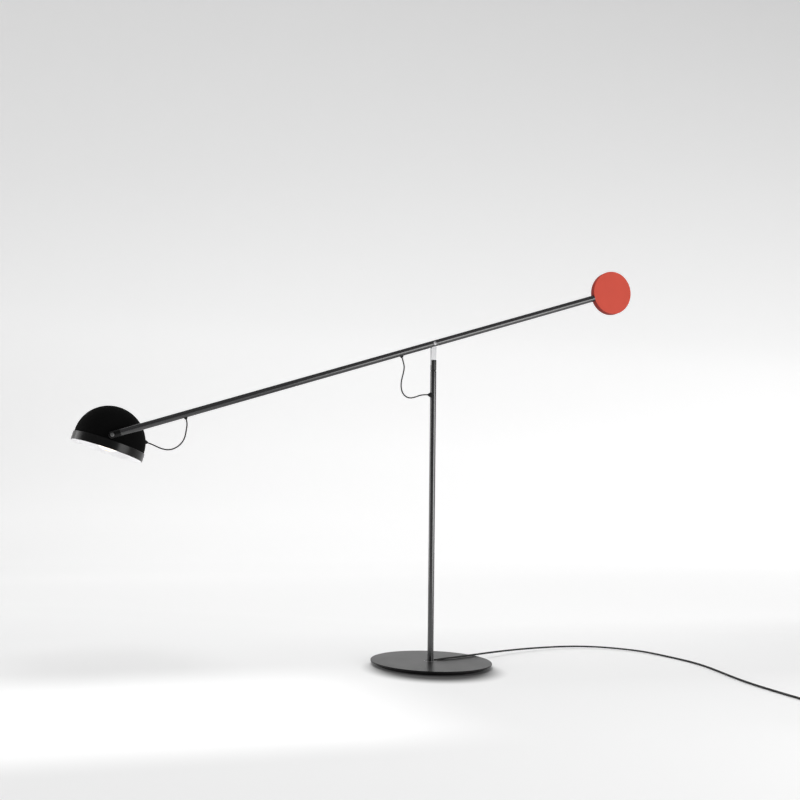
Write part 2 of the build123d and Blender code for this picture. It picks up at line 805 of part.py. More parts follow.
tray_radius = sqrt(dome_bore**2 - (tray_thickness - dome_skirt) ** 2) - tray_side_gap
with BuildPart() as led_tray:
    with BuildSketch(head_level(0)):
        Circle(tray_radius)
        with PolarLocations(tray_screw_circle, tray_screw_count, start_angle=30):
            Circle(tray_screw_radius, mode=Mode.SUBTRACT)
        with Locations((tray_cable_place, 0)):
            Circle(inner_cable_dia, mode=Mode.SUBTRACT)
    extrude(amount=tray_thickness)
finish(led_tray.part, "led_tray")

# White reflector plate, held up under the tray inside the ring's lip
lip_radius = ring_bore - ring_lip_width
with BuildPart() as reflector:
    with BuildSketch(head_half):
        with BuildLine():
            Polyline(
                (retainer_radius + reflector_side_gap, 0),
                (lip_radius - reflector_side_gap, 0),
                (lip_radius - reflector_side_gap, -ring_lip_height),
                (ring_bore - reflector_side_gap, -ring_lip_height),
                (ring_bore - reflector_side_gap, -ring_lip_height - reflector_thickness),
                (retainer_radius + reflector_side_gap, -ring_lip_height - reflector_thickness),
                close=True,
            )
        make_face()
    revolve(axis=head_axis)
    with BuildSketch(head_level(0)):
        with PolarLocations(tray_screw_circle, tray_screw_count, start_angle=30):
            Circle(tray_screw_radius)
    extrude(amount=-ring_lip_height - reflector_thickness, mode=Mode.SUBTRACT)
finish(reflector.part, "reflector")

reflector_face = -ring_lip_height - reflector_thickness
with BuildPart() as tray_screws:
    with BuildSketch(head_level(reflector_face)):
        with PolarLocations(tray_screw_circle, tray_screw_count, start_angle=30):
            Circle(tray_screw_radius)
    extrude(amount=tray_thickness - reflector_face)
    with BuildSketch(head_level(reflector_face)):
        with PolarLocations(tray_screw_circle, tray_screw_count, start_angle=30):
            Circle(tray_screw_head_radius)
    extrude(amount=-1.2)
finish(tray_screws.part, "tray_screws")

with BuildPart() as led_board:
    with BuildSketch(head_level(0)):
        Circle(board_radius)
    extrude(amount=-board_thickness)
finish(led_board.part, "led_board")

with BuildPart() as led_chips:
    with BuildSketch(head_level(-board_thickness)):
        with PolarLocations(led_circle, led_count):
            Rectangle(led_side, led_side)
        Rectangle(led_side, led_side)
    extrude(amount=-led_height)
finish(led_chips.part, "led_chips")

# Opal lens, a cap that bulges almost to the ring's mouth
lens_bottom = -ring_height + lens_recess
crown_inside = lens_bottom + lens_wall
with BuildPart() as led_lens:
    with BuildSketch(head_half):
        with BuildLine():
            Line((lens_radius - lens_wall, 0), (lens_radius, 0))
            Line((lens_radius, 0), (lens_radius, -lens_collar_height))
            EllipticalCenterArc(
                (0, -lens_collar_height),
                lens_radius,
                -lens_collar_height - lens_bottom,
                start_angle=270,
                arc_size=90,
            )
            Line((0, lens_bottom), (0, crown_inside))
            EllipticalCenterArc(
                (0, -lens_collar_height),
                lens_radius - lens_wall,
                -lens_collar_height - crown_inside,
                start_angle=270,
                arc_size=90,
            )
            Line((lens_radius - lens_wall, -lens_collar_height), (lens_radius - lens_wall, 0))
        make_face()
    revolve(axis=head_axis)
finish(led_lens.part, "led_lens")

with BuildPart() as lens_retainer:
    with BuildSketch(head_level(0)):
        Circle(retainer_radius)
        Circle(lens_radius, mode=Mode.SUBTRACT)
    extrude(amount=reflector_face - retainer_height + reflector_thickness)
    chamfer(lens_retainer.edges().group_by(Axis(dome_centre, head_up))[0], length=0.4)
finish(lens_retainer.part, "lens_retainer")

with BuildPart() as head_gland:
    with BuildSketch(Plane(origin=gland_seat, x_dir=gland_heading, z_dir=(0.3, 0.9, 0))):
        with BuildLine():
            Polyline(
                (-3, 0),
                (-3, head_gland_radius),
                (0.5, head_gland_radius),
                (head_gland_height - 0.3, gland_tip_radius),
                (head_gland_height, gland_tip_radius - 0.3),
                (head_gland_height, 0),
                close=True,
            )
        make_face()
    revolve(axis=Axis(gland_seat, gland_heading))
    with BuildSketch(head_half):
        with BuildLine():
            CenterArc((0, dome_skirt), dome_radius, -90, 180)
            Line((0, dome_skirt + dome_radius), (0, dome_skirt - dome_radius))
        make_face()
    revolve(axis=head_axis, mode=Mode.SUBTRACT)
    with BuildSketch(Plane(origin=gland_place(-dome_wall - 2.0), z_dir=gland_heading)):
        Circle(gland_tip_radius)
    extrude(amount=dome_wall + 2.4)
finish(head_gland.part, "head_gland")

finish(
    cable(
        [
            gland_place(-dome_wall - 2.0),
            gland_place(-14.0),
            head_point(28.0, 4.0, 17.0),
            head_point(tray_cable_place, 0.0, 9.0),
            head_point(tray_cable_place, 0.0, 0.2),
        ],
        inner_cable_dia,
    ),
    "head_cable",
)

# ---------------------------------------------------------------- cable loops
# Routes are chosen by hand: out of one gland, down in a slack loop, and into the next.
pivot_loop_route = [
    arm_point(pivot_loop_place, 0, -arm_radius - arm_gland_height),
    arm_point(pivot_loop_place, 0, -arm_radius - arm_gland_height - 7.0),
    (-51.2, 0.6, 496.3),
    (-52.6, 1.2, 486.6),
    (-55.4, 1.6, 476.4),
    (-56.6, 1.8, 465.2),
    (-54.5, 1.8, 454.9),
    (-48.7, 1.6, 448.0),
    (-40.5, 1.2, 445.4),
    (-31.7, 0.8, 447.5),
    (-22.7, 0.4, 451.0),
    (-14.5, 0.0, 452.2),
    (-column_gland_reach, 0.0, column_gland_height),
]
finish(cable(pivot_loop_route, loop_cable_dia), "pivot_loop_cable")

head_loop_route = [
    arm_point(head_loop_place, 0, -arm_radius - arm_gland_height),
    arm_point(head_loop_place, 0, -arm_radius - arm_gland_height - 6.0),
    (-411.8, 4.5, 382.5),
    (-412.7, 11.5, 372.3),
    (-417.1, 20.0, 362.8),
    (-425.2, 29.5, 356.2),
    (-434.4, 38.5, 353.5),
    (-443.6, 47.5, 355.3),
    (-452.0, 55.5, 359.4),
    gland_place(head_gland_height + 7.0),
    gland_place(head_gland_height),
]
finish(cable(head_loop_route, loop_cable_dia), "head_loop_cable")

# ---------------------------------------------------------------- mains cable
mains_radius = mains_cable_dia / 2
floor_level = mains_radius + floor_gap
coil_inner_radius = coil_middle_radius - coil_pitch * coil_turns_each_way / 2
coil_outer_radius = coil_inner_radius + coil_pitch * coil_turns_each_way
coil_turns = 2 * coil_turns_each_way + 0.5
coil_entry_x = 390.0
coil_centre_x = coil_entry_x + coil_outer_radius

with BuildPart() as exit_relief:
    with BuildSketch(Plane(origin=cable_exit, z_dir=cable_heading)):
        Circle(relief_radius)
    extrude(amount=-exit_relief_length)
finish(exit_relief.part, "exit_relief")

mains_route = [
    tuple(cable_exit),
    tuple(cable_exit + cable_heading * 14.0),
    (45.7, 7.4, 10.0),
    (72.7, 17.9, 10.1),
    (106.4, 31.4, 10.0),
    (145.9, 51.4, 8.9),
    (182.2, 69.7, 7.4),
    (221.6, 86.2, 6.2),
    (267.2, 99.0, 5.2),
    (313.4, 106.0, 4.6),
    (353.3, 103.2, 4.3),
    (387.6, 88.8, 4.0),
    (416.4, 64.8, 3.4),
    (437.0, 35.7, 2.9),
    (444.7, 4.4, 2.4),
    (448.7, -30.5, 2.1),
    (450.7, -69.1, floor_level),
    (445.5, -109.4, floor_level),
    (431.2, -158.2, floor_level),
    (414.7, -209.2, floor_level),
    (402.8, -260.5, floor_level),
    (395.8, -310.9, floor_level),
    (390.6, -356.0, floor_level),
    (coil_entry_x, -400.0, floor_level),
    (coil_entry_x, coil_centre_y + mains_cable_dia, floor_level),
]
finish(cable(mains_route, mains_cable_dia), "mains_cable")


def coil_state(turn):
    """Place and heading of the coil's middle line after so many turns.

    It spirals in on the floor, climbs a layer in the half turn about the place where
    the spiral reverses, and spirals out again on top.
    """
    reverse = coil_turns / 2
    radius = coil_inner_radius + coil_pitch * (abs(turn - reverse) - 0.25)
    radial_rate = coil_pitch * ((turn > reverse) - (turn < reverse)) * (0 < turn < coil_turns)
    share = min(max((turn - reverse) * 2 + 0.5, 0.0), 1.0)
    climb = coil_pitch * (1 - cos(pi * share)) / 2
    climb_rate = coil_pitch * pi * sin(pi * share)
    angle = pi + 2 * pi * turn
    place = Vector(
        coil_centre_x + radius * cos(angle),
        coil_centre_y + radius * sin(angle),
        floor_level + climb,
    )
    heading = Vector(
        radial_rate * cos(angle) - 2 * pi * radius * sin(angle),
        radial_rate * sin(angle) + 2 * pi * radius * cos(angle),
        climb_rate,
    ).normalized()
    return place, heading


def arc_middle(start, corner, end):
    """The middle of the arc that touches both sides of a corner at equal distances."""
    chord = end - start
    half_chord = chord.length / 2
    middle = start + chord * 0.5
    reach = (corner - middle).length
    bend = atan2(reach, half_chord)
    return middle + (corner - middle).normalized() * half_chord * tan(bend / 2)


def biarc(start, start_heading, end, end_heading):
    """Two tangent arcs from one place and heading to another."""
    span = end - start
    headings = start_heading + end_heading
    bend = 2 * (1 - start_heading.dot(end_heading))
    along = span.dot(headings)
    reach = (-along + sqrt(along**2 + bend * span.dot(span))) / bend
    first_corner = start + start_heading * reach
    second_corner = end - end_heading * reach
    joint = (first_corner + second_corner) * 0.5
    ThreePointArc(start, arc_middle(start, first_corner, joint), joint)
    ThreePointArc(joint, arc_middle(joint, second_corner, end), end)


coil_steps = round(coil_turns * 4)
with BuildPart() as mains_coil:
    with BuildLine() as coil_route:
        first, first_heading = coil_state(0)
        Line(first - first_heading * mains_cable_dia, first)
        for step in range(coil_steps):
            biarc(*coil_state(step / 4), *coil_state((step + 1) / 4))
        last, last_heading = coil_state(coil_turns)
        Line(last, last + last_heading * mains_cable_dia)
    with BuildSketch(Plane(origin=first - first_heading * mains_cable_dia, z_dir=first_heading)):
        Circle(mains_radius)
    sweep()
finish(mains_coil.part, "mains_coil")

coil_wire = coil_route.wires()[0]
coil_samples = [coil_wire.position_at(i / 599) for i in range(600)]
sample_step = coil_wire.length / 599
apart = round(4 * mains_cable_dia / sample_step)
coil_gap = min(
    (coil_samples[i] - coil_samples[j]).length
    for i in range(600)
    for j in range(i + apart, 600)
) - mains_cable_dia
expected_volume = pi * mains_radius**2 * coil_wire.length
print(f"coil {coil_wire.length:.1f} mm long, {coil_turns} turns, least gap {coil_gap:.2f} mm,", end=" ")
print(f"volume over section times length {mains_coil.part.volume / expected_volume:.4f}")

# ---------------------------------------------------------------- plug-in driver
coil_end = last + last_heading * mains_cable_dia
driver_level = driver_side / 2
relief_tip = (coil_end.X, coil_end.Y - lead_gap, driver_level)
case_start = relief_tip[1] - relief_length
lead_route = [
    (coil_end.X, coil_end.Y, coil_end.Z),
    (coil_end.X, coil_end.Y - 7.0, coil_end.Z),
    (coil_end.X, coil_end.Y - 14.0, coil_end.Z + 4.0),
    (coil_end.X, coil_end.Y - 21.0, driver_level),
    relief_tip,
]
finish(cable(lead_route, mains_cable_dia), "driver_lead")

driver_end = Plane(origin=(coil_end.X, case_start, driver_level), x_dir=(1, 0, 0), z_dir=(0, -1, 0))


def driver_half(lower):
    """One moulded half of the driver's case, split at the height of its cable."""
    with BuildPart() as half_case:
        with BuildSketch(driver_end):
            RectangleRounded(driver_side, driver_side, driver_corner)
        extrude(amount=driver_length)
        fillet(half_case.faces().sort_by(Axis.Y)[0].edges(), radius=driver_edge)
        fillet(half_case.faces().sort_by(Axis.Y)[-1].edges(), radius=driver_edge)
        split(bisect_by=Plane.XY.offset(driver_level), keep=Keep.BOTTOM if lower else Keep.TOP)
        pin_plane = driver_end.offset(driver_length - pin_seat)
        with BuildSketch(pin_plane):
            with Locations((-pin_spacing / 2, 0), (pin_spacing / 2, 0)):
                Circle(pin_radius)
        extrude(amount=pin_seat + 1, mode=Mode.SUBTRACT)
    return half_case.part


pin_seat = 8.0
finish(driver_half(True), "driver_case")
finish(driver_half(False), "driver_cover")

with BuildPart() as driver_pins:
    with BuildSketch(driver_end.offset(driver_length - pin_seat)):
        with Locations((-pin_spacing / 2, 0), (pin_spacing / 2, 0)):
            Circle(pin_radius)
    extrude(amount=pin_seat + pin_length)
    fillet(driver_pins.edges().group_by(Axis.Y)[0], radius=pin_radius * 0.6)
finish(driver_pins.part, "driver_pins")

with BuildPart() as driver_relief:
    with BuildSketch(driver_end):
        Circle(relief_root_radius)
    with BuildSketch(driver_end.offset(-relief_length)):
        Circle(relief_tip_radius)
    loft()
finish(driver_relief.part, "driver_relief")
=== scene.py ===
"""Looks of a counterweight balance desk lamp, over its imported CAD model.

Every length is in metres, in the lamp's frame: the origin is the centre of the base's
underside, +Z is up, and the arm lies in the XZ plane with the counterweight towards +X.
"""

import json
import logging
import math
from dataclasses import dataclass
from enum import Enum

import bmesh
import bpy
from mathutils import Matrix, Vector

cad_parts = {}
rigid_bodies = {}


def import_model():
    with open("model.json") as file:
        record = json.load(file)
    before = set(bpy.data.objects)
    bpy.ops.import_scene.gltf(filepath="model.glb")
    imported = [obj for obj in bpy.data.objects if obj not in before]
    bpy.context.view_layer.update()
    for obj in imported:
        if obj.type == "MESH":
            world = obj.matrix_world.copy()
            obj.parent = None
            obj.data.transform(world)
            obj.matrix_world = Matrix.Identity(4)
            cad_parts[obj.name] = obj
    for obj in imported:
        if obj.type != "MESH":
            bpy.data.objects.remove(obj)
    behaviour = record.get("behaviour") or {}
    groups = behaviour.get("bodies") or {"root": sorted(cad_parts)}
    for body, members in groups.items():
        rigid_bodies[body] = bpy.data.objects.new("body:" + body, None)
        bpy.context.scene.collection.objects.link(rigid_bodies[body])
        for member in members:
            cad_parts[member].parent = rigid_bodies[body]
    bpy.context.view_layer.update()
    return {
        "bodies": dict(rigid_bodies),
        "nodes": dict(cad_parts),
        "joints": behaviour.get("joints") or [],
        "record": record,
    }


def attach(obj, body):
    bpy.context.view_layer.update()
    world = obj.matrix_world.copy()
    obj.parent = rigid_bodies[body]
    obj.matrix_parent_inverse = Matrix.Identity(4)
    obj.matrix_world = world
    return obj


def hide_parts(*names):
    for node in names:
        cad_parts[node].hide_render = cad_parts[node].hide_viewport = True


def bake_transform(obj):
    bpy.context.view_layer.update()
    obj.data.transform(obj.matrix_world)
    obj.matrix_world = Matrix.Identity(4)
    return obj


log = logging.getLogger("desk_lamp")

Point = tuple[float, float, float]
Colour = tuple[float, float, float]

MERGE_DISTANCE = 1e-7
WHITE: Colour = (1.0, 1.0, 1.0)
BLACK: Colour = (0.0, 0.0, 0.0)


# ---------------------------------------------------------------- shader expressions
def shade(colour: Colour, factor: float) -> Colour:
    """A colour made lighter or darker by a factor."""
    return tuple(min(1.0, part * factor) for part in colour)


class Value:
    """A number socket that can be used in Python expressions."""

    def __init__(self, graph: "Graph", socket: bpy.types.NodeSocket) -> None:
        """Wrap a socket.

        Args:
            graph: The graph that the socket's node is in.
            socket: The output socket that carries the number.
        """
        self.graph = graph
        self.socket = socket

    def _math(self, operation: str, first: object, second: object = 0.0) -> "Value":
        """Add a Math node.

        Args:
            operation: The Math node's operation.
            first: The first input.
            second: The second input.

        Returns:
            The node's output.
        """
        return self.graph.node("ShaderNodeMath", {"operation": operation}, [first, second])

    def __add__(self, other: object) -> "Value":
        """Sum."""
        return self._math("ADD", self, other)

    def __radd__(self, other: object) -> "Value":
        """Sum with a number on the left."""
        return self._math("ADD", other, self)

    def __sub__(self, other: object) -> "Value":
        """Difference."""
        return self._math("SUBTRACT", self, other)

    def __rsub__(self, other: object) -> "Value":
        """Difference with a number on the left."""
        return self._math("SUBTRACT", other, self)

    def __mul__(self, other: object) -> "Value":
        """Product."""
        return self._math("MULTIPLY", self, other)

    def __rmul__(self, other: object) -> "Value":
        """Product with a number on the left."""
        return self._math("MULTIPLY", other, self)


class Graph:
    """The node tree of one material."""

    def __init__(self, name: str) -> None:
        """Make an empty material with nodes.

        Args:
            name: The material's name.
        """
        self.material = bpy.data.materials.new(name)
        self.material.use_nodes = True
        self.tree = self.material.node_tree
        self.tree.nodes.clear()

    def node(
        self,
        kind: str,
        settings: dict[str, object] | None = None,
        inputs: list[object] | dict[str, object] | None = None,
        output: int | str = 0,
    ) -> Value:
        """Add a node.

        Args:
            kind: The node's type.
            settings: Its own settings, set first. "stops" sets a ramp's stops.
            inputs: What its sockets take, by place or by name: numbers, colours or links.
            output: The place or name of the output that is wanted.

        Returns:
            That output.
        """
        made = self.tree.nodes.new(kind)
        for key, value in (settings or {}).items():
            if key == "stops":
                ramp = made.color_ramp
                while len(ramp.elements) > 1:
                    ramp.elements.remove(ramp.elements[-1])
                ramp.elements[0].position, ramp.elements[0].color = value[0]
                for place, colour in value[1:]:
                    ramp.elements.new(place).color = colour
            else:
                setattr(made, key, value)
        pairs = inputs.items() if isinstance(inputs, dict) else enumerate(inputs or [])
        for key, value in pairs:
            self.put(made.inputs[key], value)
        return Value(self, made.outputs[output])

    def put(self, socket: bpy.types.NodeSocket, value: object) -> None:
        """Set or link a socket.

        Args:
            socket: The input socket.
            value: A Value to link, or a number or colour to set. None leaves it as it is.
        """
        if isinstance(value, Value):
            self.tree.links.new(value.socket, socket)
        elif value is not None:
            if isinstance(value, tuple) and len(value) == 3 and socket.type == "RGBA":
                value = (*value, 1.0)
            socket.default_value = value

    def place(self, scale: Point = (1.0, 1.0, 1.0), turn: Point = (0.0, 0.0, 0.0)) -> Value:
        """Object coordinates, turned and scaled by a Mapping node.

        Args:
            scale: How much each axis is stretched.
            turn: The turn about each axis, in radians.

        Returns:
            The coordinates.
        """
        coordinates = self.node("ShaderNodeTexCoord", output="Object")
        return self.node(
            "ShaderNodeMapping", {}, {"Vector": coordinates, "Rotation": turn, "Scale": scale}
        )

    def axis(self, index: int) -> Value:
        """One of the Object coordinates, as a number."""
        coordinates = self.node("ShaderNodeTexCoord", output="Object")
        return self.node("ShaderNodeSeparateXYZ", {}, [coordinates], output=index)

    def radial(self, frame: Matrix) -> Value:
        """Distance from the Z axis of a frame.

        Args:
            frame: The frame, as a matrix in the lamp's own coordinates.

        Returns:
            The distance in metres.
        """
        back = frame.inverted()
        coordinates = self.node("ShaderNodeTexCoord", output="Object")
        local = self.node(
            "ShaderNodeMapping",
            {},
            {
                "Vector": coordinates,
                "Location": tuple(back.translation),
                "Rotation": tuple(back.to_euler()),
            },
        )
        flat = self.node(
            "ShaderNodeVectorMath", {"operation": "MULTIPLY"}, {0: local, 1: (1.0, 1.0, 0.0)}
        )
        return self.node(
            "ShaderNodeVectorMath", {"operation": "LENGTH"}, {0: flat}, output="Value"
        )

    def share(self, value: object, start: float, end: float, smooth: bool = True) -> Value:
        """How far a number is between two limits, from 0 to 1.

        Args:
            value: The number.
            start: The limit where the share is 0.
            end: The limit where the share is 1. It may be the smaller one.
            smooth: Whether the share eases in and out.

        Returns:
            The share.
        """
        kind = "SMOOTHSTEP" if smooth else "LINEAR"
        return self.node(
            "ShaderNodeMapRange",
            {"interpolation_type": kind},
            {"Value": value, "From Min": start, "From Max": end},
        )

    def ramp(self, share: Value, *stops: tuple[float, float]) -> Value:
        """A grey that follows stops of place and tone."""
        greys = [(place, (tone, tone, tone, 1.0)) for place, tone in stops]
        return self.node("ShaderNodeValToRGB", {"stops": greys}, [share])

    def noise(self, coordinates: Value, scale: float, detail: float = 2.0) -> Value:
        """Smooth noise from 0 to 1.

        Args:
            coordinates: The coordinates that it lies over.
            scale: How many waves it has in a metre.
            detail: How many finer layers it has.

        Returns:
            The noise.
        """
        return self.node(
            "ShaderNodeTexNoise", {}, {"Vector": coordinates, "Scale": scale, "Detail": detail}
        )

    def blend(self, share: object, first: object, second: object) -> Value:
        """Mix two colours.

        Args:
            share: How much of the second one there is, from 0 to 1.
            first: The first colour.
            second: The second colour.

        Returns:
            The mixed colour.
        """
        return self.node(
            "ShaderNodeMix",
            {"data_type": "RGBA", "clamp_factor": True},
            {0: share, 6: first, 7: second},
            output=2,
        )

    def uneven(self, share: Value, colour: Colour, amount: float) -> Value:
        """A colour that drifts a little darker and paler with a share from 0 to 1."""
        return self.blend(share, shade(colour, 1 - amount), shade(colour, 1 + amount))

    def bump(self, height: Value, depth: float) -> Value:
        """A normal from a height.

        Args:
            height: The height, from 0 to 1.
            depth: How deep its full range is, in metres.

        Returns:
            The normal.
        """
        return self.node(
            "ShaderNodeBump", {}, {"Strength": 1.0, "Distance": depth, "Height": height}
        )

    def surface(self, **sockets: object) -> bpy.types.Material:
        """Finish the material with one Principled shader.

        Args:
            sockets: What its sockets take, with underscores for the spaces in their names.

        Returns:
            The material.
        """
        inputs = {key.replace("_", " "): value for key, value in sockets.items()}
        shader = self.node("ShaderNodeBsdfPrincipled", {}, inputs)
        output = self.tree.nodes.new("ShaderNodeOutputMaterial")
        self.tree.links.new(shader.socket, output.inputs["Surface"])
        return self.material


# ---------------------------------------------------------------- finishes
@dataclass(frozen=True)
class PowderCoat:
    """A fine-grained satin or matt paint, with faint unevenness in its tone."""

    name: str
    colour: Colour
    roughness: float
    gloss: float
    grain: float = 1400.0
    grain_depth: float = 0.00002
    unevenness: float = 0.10
    cloud_scale: float = 22.0
    cloud_roughness: float = 0.08
    grain_roughness: float = 0.06

    def make(self) -> bpy.types.Material:
        """Build the material.

        Returns:
            The material.
        """
        graph = Graph(self.name)
        place = graph.place()
        cloud = graph.noise(place, self.cloud_scale, 3.0)
        speck = graph.noise(place, self.grain, 1.0)
        patchy = (cloud - 0.5) * self.cloud_roughness
        grainy = (speck - 0.5) * self.grain_roughness
        roughness = patchy + grainy + self.roughness
        return graph.surface(
            Base_Color=graph.uneven(cloud, self.colour, self.unevenness),
            Roughness=roughness,
            Specular_IOR_Level=self.gloss,
            Normal=graph.bump(speck, self.grain_depth),
        )


@dataclass(frozen=True)
class Lacquer:
    """A smooth satin lacquer on drawn tube, with faint lines along the tube."""

    name: str
    colour: Colour
    roughness: float
    gloss: float
    lengthwise: Point = (0.0, 0.0, 0.0)
    coat: float = 0.0
    coat_roughness: float = 0.2
    drawn_scale: Point = (900.0, 900.0, 5.0)
    drawn_depth: float = 0.000004
    drawn_roughness: float = 0.10
    cloud_scale: float = 30.0
    cloud_roughness: float = 0.05
    unevenness: float = 0.15

    def make(self) -> bpy.types.Material:
        """Build the material.

        Returns:
            The material.
        """
        graph = Graph(self.name)
        lines = graph.noise(graph.place(self.drawn_scale, self.lengthwise), 1.0)
        cloud = graph.noise(graph.place(), self.cloud_scale)
        streaky = (lines - 0.5) * self.drawn_roughness
        patchy = (cloud - 0.5) * self.cloud_roughness
        return graph.surface(
            Base_Color=graph.uneven(cloud, self.colour, self.unevenness),
            Roughness=streaky + patchy + self.roughness,
            Specular_IOR_Level=self.gloss,
            Coat_Weight=self.coat,
            Coat_Roughness=self.coat_roughness,
            Normal=graph.bump(lines, self.drawn_depth),
        )


@dataclass(frozen=True)
class Metal:
    """Bare metal with fine lines from turning, drawing or brushing."""

    name: str
    colour: Colour
    roughness: float
    lines: Point = (40.0, 1500.0, 1500.0)
    line_depth: float = 0.000006
    line_roughness: float = 0.12
    cloud_scale: float = 60.0
    cloud_roughness: float = 0.06
    unevenness: float = 0.06

    def make(self) -> bpy.types.Material:
        """Build the material.

        Returns:
            The material.
        """
        graph = Graph(self.name)
        brushed = graph.noise(graph.place(self.lines), 1.0)
        cloud = graph.noise(graph.place(), self.cloud_scale)
        streaky = (brushed - 0.5) * self.line_roughness
        patchy = (cloud - 0.5) * self.cloud_roughness
        return graph.surface(
            Base_Color=graph.uneven(brushed, self.colour, self.unevenness),
            Metallic=1.0,
            Roughness=streaky + patchy + self.roughness,
            Normal=graph.bump(brushed, self.line_depth),
        )


@dataclass(frozen=True)
class Sheath:
    """The matt skin of a cable or a moulded rubber piece."""

    name: str
    colour: Colour
    roughness: float = 0.55
    gloss: float = 0.35
    skin_scale: float = 900.0
    skin_depth: float = 0.00001
    wear_scale: float = 24.0
    wear_roughness: float = 0.12
    worn: tuple[float, float] = (0.85, 1.2)

    def make(self) -> bpy.types.Material:
        """Build the material.

        Returns:
            The material.
        """
        graph = Graph(self.name)
        place = graph.place()
        skin = graph.noise(place, self.skin_scale)
        handled = graph.noise(place, self.wear_scale)
        darker, paler = (shade(self.colour, factor) for factor in self.worn)
        return graph.surface(
            Base_Color=graph.blend(handled, darker, paler),
            Roughness=(handled - 0.5) * self.wear_roughness + self.roughness,
            Specular_IOR_Level=self.gloss,
            Normal=graph.bump(skin, self.skin_depth),
        )


@dataclass(frozen=True)
class Moulding:
    """Moulded plastic with a fine spark texture, and a painted glow of the lamp's light where it
    is lit.
    """

    name: str
    colour: Colour
    roughness: float = 0.45
    texture: float = 0.00002
    lit: float = 0.0
    spark_scale: float = 2200.0
    spark_roughness: float = 0.10
    cloud_scale: float = 35.0
    unevenness: float = 0.04

    def make(self) -> bpy.types.Material:
        """Build the material.

        Returns:
            The material.
        """
        graph = Graph(self.name)
        place = graph.place()
        spark = graph.noise(place, self.spark_scale)
        cloud = graph.noise(place, self.cloud_scale)
        tone = graph.uneven(cloud, self.colour, self.unevenness)
        return graph.surface(
            Base_Color=tone,
            Roughness=(spark - 0.5) * self.spark_roughness + self.roughness,
            # Painted glow: emission in the piece's own tone stands in for the lamp's light on it.
            Emission_Color=tone if self.lit else None,
            Emission_Strength=self.lit,
            Normal=graph.bump(spark, self.texture),
        )


@dataclass(frozen=True)
class TwoTone:
    """A round piece with one tone near its axis and another farther out."""

    name: str
    inner: Colour
    outer: Colour
    radius: float
    edge: float
    roughness: tuple[float, float] = (0.5, 0.3)
    gloss: float = 0.5
    lit: float = 0.0
    cloud_scale: float = 40.0
    cloud_dark: float = 0.06
    fine_scale: float = 1500.0
    fine_depth: float = 0.000002
    fine_roughness: float = 0.04

    def make_on(self, frame: Matrix) -> bpy.types.Material:
        """Build the material.

        Args:
            frame: The piece's own frame, with its axis along Z.

        Returns:
            The material.
        """
        graph = Graph(self.name)
        away = graph.share(graph.radial(frame), self.radius - self.edge, self.radius + self.edge)
        cloud = graph.noise(graph.place(), self.cloud_scale)
        fine = graph.noise(graph.place(), self.fine_scale, 1.0)
        tone = graph.blend(away, self.inner, self.outer)
        near, far = self.roughness
        return graph.surface(
            Base_Color=graph.blend(cloud * self.cloud_dark, tone, BLACK),
            Roughness=away * (far - near) + (fine - 0.5) * self.fine_roughness + near,
            Specular_IOR_Level=self.gloss,
            # Painted glow: where lit is set, emission in the tone stands in for light falling on
            # the piece.
            Emission_Color=tone if self.lit else None,
            Emission_Strength=self.lit,
            Normal=graph.bump(fine, self.fine_depth),
        )


@dataclass(frozen=True)
class Glow:
    """Opal plastic that is lit from inside, warmer towards its middle."""

    name: str
    centre: Point
    inner: Colour
    outer: Colour
    strength: float
    reach: float
    roughness: float = 0.35
    fine_scale: float = 800.0
    fine_roughness: float = 0.06

    def make(self) -> bpy.types.Material:
        """Build the material.

        Returns:
            The material.
        """
        graph = Graph(self.name)
        coordinates = graph.node("ShaderNodeTexCoord", output="Object")
        apart = graph.node(
            "ShaderNodeVectorMath",
            {"operation": "DISTANCE"},
            {0: coordinates, 1: self.centre},
            output="Value",
        )
        tone = graph.blend(graph.share(apart, 0.0, self.reach), self.inner, self.outer)
        fine = graph.noise(graph.place(), self.fine_scale, 1.0)
        return graph.surface(
            Base_Color=tone,
            Roughness=(fine - 0.5) * self.fine_roughness + self.roughness,
            Emission_Color=tone,
            Emission_Strength=self.strength,
        )


